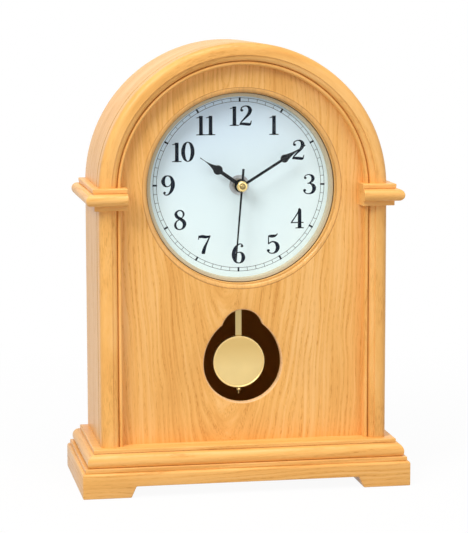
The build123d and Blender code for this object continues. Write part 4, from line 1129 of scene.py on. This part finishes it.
class CLOCK_OT_dial(bpy.types.Operator):
    """Makes the dial: ring, ledge, glass, figures and minute track"""

    bl_idname = "clock.dial"
    bl_label = "Dial"

    def execute(self, context):
        paint = colours()
        self.ring(paint)
        self.ledge(paint)
        self.glass()
        ink = speckled("dial ink", paint.ink, 0.6, depth=0.004 * MM, variation=0.15, specular=0.1)
        self.figures(ink)
        self.track(ink)
        dress(["dial_plate"], self.enamel(paint))
        return {"FINISHED"}

    def enamel(self, paint):
        """The dial's satin ground, with painted shade that makes it a little bluer and darker towards its
        top.
        """
        w = Finish("dial enamel")
        x, y, z = w.split(w.here())
        grit = w.noise(w.here(), 1500.0, 3.0)
        # Painted shade: the ground darkens and turns bluer towards the top left, for the shadow that the ring
        # casts on the dial
        rise = w.span(w.minus(w.minus(z, w.times(x, 0.3)), DIAL_Z), -20 * MM, 65 * MM)
        painted_top_shade = [k * v for k, v in zip((0.78, 0.82, 0.97), paint.dial_white)]
        ground = w.blend(w.sum("POWER", rise, 1.6), paint.dial_white, painted_top_shade)
        skin = w.blend(w.times(grit, 0.02), ground, (0.5, 0.5, 0.5))
        return w.close(skin, w.span(grit, 0.3, 0.7, 0.38, 0.46), grit, 0.003 * MM)

    def ring(self, paint):
        """The turned ring: flush with the panel outside, and softly rounded inward to its lip."""
        wood = plain_wood("turned ring wood", paint.ring_wood, rough=0.34, coat=0.3)
        outer, bore, seat = 72.1, 69.2, 70.2
        front, back = PANEL_Y / MM, DIAL_Y / MM
        edge = outer - 0.3
        section = [(outer, back), (outer, front + 0.25), (outer - 0.1, front + 0.08), (edge, front)]
        section += arc((edge, front + 1.5), (edge - bore, 1.5), 270, 180, 15)[1:-1]
        section += [(bore, front + 1.6), (bore, front + 2.3), (seat, front + 2.3), (seat, back)]
        turned("ring_turned", section, wood, "dial_ring", steps=192, slot="ring_wood")

    def ledge(self, paint):
        """The ring behind the glass: a wood coloured wall, a groove with painted shade and a softly edged
        cream ledge.
        """
        low, high = box_mm("glass_spacer")
        radius, front, back = high.x, low.y, high.y
        wall, step, bore = radius - 1.7, front + 3.1, radius - 4.7
        section = [
            (radius, back), (radius, front + 0.2), (radius - 0.2, front), (wall + 0.2, front),
            (wall, front + 0.2), (wall, step + 0.7), (wall - 0.55, step + 0.7), (wall - 0.55, step + 0.12),
            (wall - 0.67, step), (bore + 0.5, step), (bore + 0.15, step + 0.15), (bore, step + 0.5),
            (bore, back),
        ]
        w = Finish("ledge")
        x, y, z = w.split(w.here())
        reach = w.length(x, w.minus(z, ARCH_Z))
        # Painted shade: the groove between the wall and the ledge is coloured dark brown, for the shadow that
        # falls in it
        joint = w.span(reach, (wall - 0.62) * MM, (wall - 0.55) * MM)
        on_wall = w.span(reach, (wall - 0.1) * MM, (wall - 0.03) * MM)
        outside = w.times(on_wall, w.span(y, (step + 0.1) * MM, step * MM))
        grit = w.noise(w.here(), 700.0, 3.0)
        cream = w.blend(grit, shade(paint.spacer_cream, 0.94), paint.spacer_cream)
        skin = w.blend(outside, w.blend(joint, cream, paint.joint_brown), paint.ring_wood)
        finish = w.close(skin, w.span(grit, 0.3, 0.7, 0.45, 0.6), grit, 0.01 * MM)
        turned("dial_ledge", section, finish, "glass_spacer", steps=192, centre=(0.0, ARCH_Z), slot="spacer")

    def glass(self):
        """The domed glass, an even shell."""
        low, high = box_mm("dial_glass")
        radius, apex, thick = high.x, low.y, 1.8
        rise = high.y - thick - apex
        sphere = (radius**2 + rise**2) / (2 * rise)
        outer = []
        for i in range(25):
            r = radius * i / 24
            outer.append((r, apex + sphere - math.sqrt(sphere**2 - r * r)))
        section = [*outer, *((r, y + thick) for r, y in reversed(outer))]
        clear, centre = clear_glass("clear glass"), (0.0, ARCH_Z)
        turned("glass_dome", section, clear, "dial_glass", steps=128, centre=centre, slot="dial_glass")

    def figures(self, ink):
        """The twelve hours, upright, on one circle but for a few that stand a little in or out."""
        for hour in range(1, 13):
            circle = sizes().figure_radius * FIGURE_REACH_SHARES.get(hour, 1.0)
            turn = math.radians(30 * hour) + DIAL_TURN
            centre = (circle * math.sin(turn), DIAL_Z + circle * math.cos(turn))
            draw_figures(f"figure_{hour}", str(hour), centre, sizes().figure_height, DIAL_Y - 0.03 * MM, ink)

    def track(self, ink):
        """Two fine circles with sixty ticks between them, and a short bar at each hour."""
        outer, inner, fine = sizes().track_outer, sizes().track_inner, sizes().line_width
        between, gap = (outer + inner) / 2, outer - inner
        tree = track_tree()
        rows = {
            "track_line_outer": (360, outer, 2 * math.pi * outer / 358, fine, 0.5),
            "track_line_inner": (360, inner, 2 * math.pi * inner / 358, fine, 0.5),
            "track_ticks": (60, between, fine, gap, 0.0),
            "track_hours": (12, between, 1.3 * MM, gap + 0.7 * MM, 0.0),
        }
        for i, (name, (count, radius, width, height, part)) in enumerate(rows.items()):
            values = {
                "Count": count, "Radius": radius, "Width": width, "Height": height,
                "Turn": part * 2 * math.pi / count + DIAL_TURN, "Depth": DIAL_Y - (0.02 + 0.004 * i) * MM,
                "Centre Z": DIAL_Z, "Material": ink,
            }
            grown(name, tree, values, "case")


class CLOCK_OT_hands(bpy.types.Operator):
    """Finishes the hands and makes the brass cap at their centre"""

    bl_idname = "clock.hands"
    bl_label = "Hands"

    def execute(self, context):
        paint, centre = colours(), (0.0, DIAL_Z)
        black = speckled(
            "hand black", (0.006, 0.007, 0.010), 0.4, depth=0.004 * MM, variation=0.2, specular=0.2
        )
        dress(["hour_hand", "minute_hand", "second_hand"], black)
        dress(["hour_tube", "minute_tube", "bush"], metal("polished brass", paint.brass, 0.16, centre))
        dress(["bush_washer", "bush_nut", "second_arbor"], metal("washer steel", paint.steel, 0.34, centre))
        self.cap(paint, centre)
        return {"FINISHED"}

    def cap(self, paint, centre):
        """A small boss in a dished cap, its brass painted dark with a brighter rim, as a painted reflection.
        """
        low, high = box_mm("second_cap")
        radius, apex, back = high.x, low.y, high.y
        section = [(0.0, apex), *arc((0.0, apex + 0.5), (0.42 * radius, 0.5), -90, 0, 6)[1:]]
        dish = [(0.50, 0.75), (0.58, 0.55), (0.70, 0.5), (0.83, 0.72), (0.93, 1.15), (1.0, 1.8)]
        section += [(share * radius, apex + drop) for share, drop in dish]
        section += [(radius, back - 0.1), (radius - 0.1, back), (0.0, back)]
        # Painted reflection: the cap's brass is half as bright inside the rim and brighter on it
        rim = (0.62 * radius * MM, shade(paint.brass, 1.15))
        brass = metal("cap brass", shade(paint.brass, 0.5), 0.16, centre, rim=rim)
        carrier = {"body": "second_hand", "slot": "brass"}
        turned("cap_dome", section, brass, "second_cap", steps=48, centre=centre, **carrier)


class CLOCK_OT_pendulum(bpy.types.Operator):
    """Makes the bob, the rating nut and the rod's finish"""

    bl_idname = "clock.pendulum"
    bl_label = "Pendulum"

    def execute(self, context):
        paint = colours()
        # The nut's brighter brass, and the painted highlight on the bob's rim
        bright = shade(paint.brass, 1.12)
        self.bob(paint, bright)
        self.nut(metal("nut brass", bright, 0.24))
        dress(["pendulum_rod"], metal("brass strip", shade(paint.brass, 0.7), 0.30))
        dress(["hanger"], speckled("acetal", (0.72, 0.72, 0.68), 0.4))
        dress(["pivot_pin"], metal("pin steel", paint.steel, 0.25))
        return {"FINISHED"}

    def bob(self, paint, bright):
        """The spun cup: a shallow dish and a raised rolled rim."""
        low, high = box_mm("bob_front")
        radius, face, back = high.x, low.y + 0.5, high.y
        inner = radius - 1.4
        shares = [i / 12 for i in range(13)]
        section = [(inner * share, face + 0.28 * (1 - share**2)) for share in shares]
        section += arc((radius - 0.7, face), (0.7, 0.5), 180, 360, 10)[1:-1]
        section += [(radius, face + 0.1), (radius, back - 0.2), (radius - 0.2, back), (inner, back)]
        section += [(inner, face + 1.2), (0.0, face + 1.2)]
        # Painted highlight on the rolled rim, and a painted reflection that darkens the cup towards its top
        rim = ((radius - 1.5) * MM, bright)
        centre = middle("bob_front")
        spun = metal("spun brass", paint.brass, 0.36, centre, depth=0.02 * MM, painted_dark_top=0.38, rim=rim)
        dress(["bob_back"], spun)
        turned("bob_cup", section, spun, "bob_front", steps=144, body="bob", slot="brass")

    def nut(self, brass):
        """The knurled rating nut."""
        low, high = box_mm("rating_nut")
        radius, soft, bore = high.x, 0.25, 0.96
        section = [
            (bore, low.z), (radius - soft, low.z), (radius, low.z + soft), (radius, high.z - soft),
            (radius - soft, high.z), (bore, high.z),
        ]
        turned(
            "nut_knurled", section, brass, "rating_nut", axis="Z", steps=112,
            wobble=ripple(14, 0.07, 0.9 * radius), body="rating_nut", slot="brass",
        )


class CLOCK_OT_movement(bpy.types.Operator):
    """Finishes the quartz movement, its battery and its setting knob"""

    bl_idname = "clock.movement"
    bl_label = "Movement"

    def execute(self, context):
        plastic = speckled(
            "movement plastic", (0.018, 0.018, 0.02), 0.5, grain=1400.0, depth=0.04 * MM, variation=0.15
        )
        dress(["front_housing", "rear_cover"], plastic)
        dress(["rubber_washer"], speckled("rubber", (0.02, 0.02, 0.02), 0.8))
        contact = metal("contact steel", colours().steel, 0.3)
        dress(["battery_contact_plus", "battery_contact_minus", "strike_plate"], contact)
        self.knob()
        self.cell()
        return {"FINISHED"}

    def knob(self):
        """The fluted setting knob on its shaft, with a shallow hollow inside its rim."""
        low, high = box_mm("setting_knob")
        radius, back, start, end = (high.x - low.x) / 2, low.y, high.y - 6.0, high.y
        section = [
            (0.0, back), (1.5, back), (1.5, start), (radius - 0.4, start), (radius, start + 0.4),
            (radius, end - 0.6), (radius - 0.6, end), (radius - 1.6, end), (radius - 1.9, end - 0.6),
            (0.0, end - 0.6),
        ]
        grey = speckled("knob grey", (0.07, 0.07, 0.075), 0.45)
        turned(
            "knob_fluted", section, grey, "setting_knob", steps=144, wobble=ripple(18, 0.09, 0.8 * radius, 3),
            body="setting_knob", slot="knob_grey",
        )

    def cell(self):
        """The battery: a rolled sleeve with a bare ring at each end, and the raised plus end."""
        low, high = box_mm("battery")
        radius, start, end, tip = (high.z - low.z) / 2, low.x, high.x - 1.0, high.x
        sleeve = [(0.5, 0.35), (0.12, 0.45), (0.0, 0.8)]
        section = [(0.0, start), (radius - 1.2, start), (radius - 0.7, start + 0.2)]
        section += [(radius - inset, start + rise) for inset, rise in sleeve]
        section += [(radius - inset, end - rise) for inset, rise in reversed(sleeve)]
        section += [
            (radius - 0.7, end - 0.15), (radius - 1.2, end), (3.0, end), (2.7, end + 0.15), (2.7, tip - 0.2),
            (2.4, tip), (0.0, tip),
        ]
        w = Finish("cell sleeve")
        x = w.split(w.here())[0]
        band = w.span(x, (end - 14) * MM, (end - 13.8) * MM)
        at_plus = w.span(x, (end - 0.5) * MM, (end - 0.45) * MM)
        at_minus = w.span(x, (start + 0.5) * MM, (start + 0.45) * MM)
        bare = w.sum("MAXIMUM", at_plus, at_minus)
        sheen = w.noise(w.here(), 300.0)
        skin = w.blend(bare, w.blend(band, (0.02, 0.05, 0.035), (0.62, 0.38, 0.16)), (0.6, 0.6, 0.61))
        rough, metallic = w.span(sheen, 0.3, 0.7, 0.24, 0.36), w.span(bare, 0.0, 1.0, 0.35, 1.0)
        finish = w.close(skin, rough, sheen, 0.006 * MM, metallic=metallic)
        turned("cell_rolled", section, finish, "battery", "X", 72, body="battery", slot="cell_wrap")


class CLOCK_OT_back(bpy.types.Operator):
    """Makes the back door and its turned knob, the screws' heads, and finishes the inside"""

    bl_idname = "clock.back"
    bl_label = "Back door"

    def execute(self, context):
        paint = colours()
        self.door(paint)
        self.pull(paint)
        brass = metal("hinge brass", paint.brass, 0.3)
        dress(["hinge_leaves_case", "hinge_leaves_door"], brass)
        dress(["catch_magnet"], speckled("catch plastic", (0.09, 0.045, 0.025), 0.5))
        dress(["case_floor"], plain_wood("softwood", paint.softwood, along="X", rough=0.7))
        self.hinge_screws(brass)
        self.base_screws(metal("screw zinc", paint.steel, 0.32))
        self.plate_screws(metal("plate screw zinc", paint.steel, 0.34))
        return {"FINISHED"}

    def door(self, paint):
        """The arched door, with its rounded edge behind and its brown inner face painted brighter, as painted
        light inside the case.
        """
        brown = speckled(
            "door paint", paint.door_brown, 0.6, grain=700.0, depth=0.04 * MM, variation=0.10, specular=0.2
        )
        low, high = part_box("back_door")
        outline = with_normals(arch_outline(high.x, low.z), 1)
        door = plate_with_holes(
            "door_board", outline, [], low.y, high.y, [0.6 * MM], brown,
            body="back_door", node="back_door", slot="door_board",
        )
        for vert in door.data.vertices:
            vert.co.y = low.y + high.y - vert.co.y
        door.data.flip_normals()
        # Painted light: the inner face's brown is brightened to stand in for light inside the case
        door.data.materials.append(speckled("door lining", paint.door_lining, 0.8, specular=0.1))
        for face in door.data.polygons:
            face.material_index = 1 if face.normal.y < -0.9 else 0

    def pull(self, paint):
        """The door's small turned knob."""
        low, high = box_mm("door_pull")
        radius, back, face, end = (high.x - low.x) / 2, low.y, CASE_BACK_Y / MM, high.y
        section = [(0.0, back), (1.5, back), (1.5, face), (3.2, face), (3.4, face + 0.3)]
        section += [(2.9, face + 0.9), (2.3, face + 1.6), (2.6, face + 2.3)]
        rise = end - face - 2.3
        for i in range(1, 12):
            turn = math.pi * i / 12
            reach = 2.6 * (1 - i / 12) + (radius - 1.2) * math.sin(turn)
            section.append((reach, face + 2.3 + rise * (1 - math.cos(turn)) / 2))
        section.append((0.0, end))
        brass = metal("turned brass", paint.brass, 0.24, middle("door_pull"))
        turned("pull_turned", section, brass, "door_pull", steps=48, body="back_door", slot="brass")

    def hinge_screws(self, brass):
        """Two slotted heads in each leaf of the two hinges."""
        low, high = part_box("hinge_leaves_case")
        knuckle = low.x + 1.6 * MM
        heights = [z + dz for z in (low.z + 11 * MM, high.z - 11 * MM) for dz in (-6.5 * MM, 6.5 * MM)]
        leaves = {
            "case": ("case", (knuckle + 1.6 * MM + high.x) / 2),
            "door": ("back_door", (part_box("hinge_leaves_door")[0].x + knuckle - 1.6 * MM) / 2),
        }
        for label, (body, x) in leaves.items():
            places = [(x, CASE_BACK_Y + 0.85 * MM, z) for z in heights]
            head = screw_head(1.35 * MM, 0.5 * MM, 0.35 * MM, 0.2 * MM)
            repeated(f"hinge_screw_heads_{label}", head, places, brass, body)

    def base_screws(self, zinc):
        """Cross slotted heads of the screws under the plinth."""
        dress(["base_screws"], zinc)
        low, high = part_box("base_screws")
        y = (low.y + high.y) / 2
        places = [(x, y, low.z) for x in (low.x + 3.8 * MM, high.x - 3.8 * MM)]
        head = screw_head(3.6 * MM, 1.4 * MM, 0.8 * MM, 0.9 * MM, crossed=True, top_down=True)
        repeated("base_screw_heads", head, places, zinc, "case")

    def plate_screws(self, zinc):
        """Four small heads that hold the dial plate to the ring from behind."""
        y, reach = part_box("dial_plate")[1].y + 0.6 * MM, 50 * MM
        places = [(sx * reach, y, ARCH_Z + sz * reach) for sx in (-1, 1) for sz in (-1, 1)]
        head = screw_head(2.0 * MM, 0.8 * MM, 0.45 * MM, 0.35 * MM, crossed=True)
        repeated("dial_plate_screw_heads", head, places, zinc, "case")


class CLOCK_OT_stage(bpy.types.Operator):
    """Sets the white floor, the lamps, the world and the camera"""

    bl_idname = "clock.stage"
    bl_label = "Stage"

    def execute(self, context):
        context.scene.view_settings.view_transform = "Standard"
        self.floor()
        self.world(context.scene)
        for name, (place, width, power) in LAMPS.items():
            self.lamp(name, place, width, power)
        data = bpy.data.cameras.new("photo view")
        data.sensor_width = 36.0
        data.lens = CAMERA_LENS
        data.clip_start = 0.05
        camera = placed("photo view", data)
        yaw, pitch, roll = (math.radians(v) for v in CAMERA_TURN)
        camera.location = CAMERA_PLACE
        camera.rotation_euler = (math.pi / 2 - pitch, roll, -yaw)
        context.scene.camera = camera
        return {"FINISHED"}

    def lamp(self, name, place, width, power):
        """A soft square lamp that looks at the clock."""
        data = bpy.data.lights.new(name, "AREA")
        data.size = width
        data.energy = power
        lamp = placed(name, data)
        lamp.location = place
        lamp.rotation_mode = "QUATERNION"
        lamp.rotation_quaternion = (LAMP_TARGET - Vector(place)).to_track_quat("-Z", "Y")

    def seen_rays(self, w):
        """1 for what the camera, gloss and glass see, and 0 for light that falls on the object."""
        rays = w.add("ShaderNodeLightPath").outputs
        seen = w.sum("MAXIMUM", rays["Is Camera Ray"], rays["Is Glossy Ray"])
        return w.sum("MAXIMUM", seen, rays["Is Transmission Ray"])

    def floor(self):
        """A wide white floor, seen near white, that keeps a faint shadow."""
        mesh = bpy.data.meshes.new("floor")
        corners = [(x * FLOOR_REACH, y * FLOOR_REACH, 0.0) for x, y in ((-1, -1), (1, -1), (1, 1), (-1, 1))]
        mesh.from_pydata(corners, [], [(0, 1, 2, 3)])
        w = Finish("white floor")
        sockets = w.shader.inputs
        seen = self.seen_rays(w)
        w.feed(sockets["Base Color"], w.blend(seen, FLOOR_LIT, FLOOR_SEEN))
        sockets["Roughness"].default_value = 0.9
        sockets["Specular IOR Level"].default_value = 0.1
        glow = w.add("ShaderNodeEmission").outputs[0]
        x, y, z = w.split(w.here())
        share = w.times(seen, w.span(w.length(x, y), 0.25, 0.6, 0.94, 1.0))
        w.feed(w.surface, w.filled(w.add("ShaderNodeMixShader"), (share, w.shader.outputs[0], glow)))
        mesh.materials.append(w.material)
        placed("floor", mesh)

    def world(self, scene):
        """A white surround for the camera and for gloss, and a softer one as light."""
        world = bpy.data.worlds.new("white surround")
        scene.world = world
        world.use_nodes = True
        w = Wiring(world.node_tree)
        back = world.node_tree.nodes["Background"]
        back.inputs["Color"].default_value = (1.0, 1.0, 1.0, 1.0)
        w.feed(back.inputs["Strength"], w.span(self.seen_rays(w), 0.0, 1.0, SURROUND_LIGHT, 1.0))


OPERATORS = (
    CLOCK_OT_stage,
    CLOCK_OT_case,
    CLOCK_OT_base,
    CLOCK_OT_panel,
    CLOCK_OT_dial,
    CLOCK_OT_hands,
    CLOCK_OT_pendulum,
    CLOCK_OT_movement,
    CLOCK_OT_back,
)


class CLOCK_PT_panel(bpy.types.Panel):
    """Lists the clock's operators and its settings"""

    bl_idname = "CLOCK_PT_panel"
    bl_label = "Desk pendulum clock"
    bl_space_type = "VIEW_3D"
    bl_region_type = "UI"
    bl_category = "Clock"

    def draw(self, context):
        for operator in OPERATORS:
            self.layout.operator(operator.bl_idname)
        for group in (context.scene.clock_sizes, context.scene.clock_colours):
            for key in group.__annotations__:
                self.layout.prop(group, key)


CLASSES = (ClockSizes, ClockColours, *OPERATORS, CLOCK_PT_panel)


def register():
    """Registers the classes and adds the settings to the scene."""
    for cls in CLASSES:
        bpy.utils.register_class(cls)
    bpy.types.Scene.clock_sizes = bpy.props.PointerProperty(type=ClockSizes)
    bpy.types.Scene.clock_colours = bpy.props.PointerProperty(type=ClockColours)


def unregister():
    """Takes the settings and the classes away."""
    del bpy.types.Scene.clock_colours
    del bpy.types.Scene.clock_sizes
    for cls in reversed(CLASSES):
        bpy.utils.unregister_class(cls)


def main():
    """Makes every piece."""
    register()
    for operator in OPERATORS:
        group, verb = operator.bl_idname.split(".")
        getattr(getattr(bpy.ops, group), verb)()


if __name__ == "__main__":
    main()
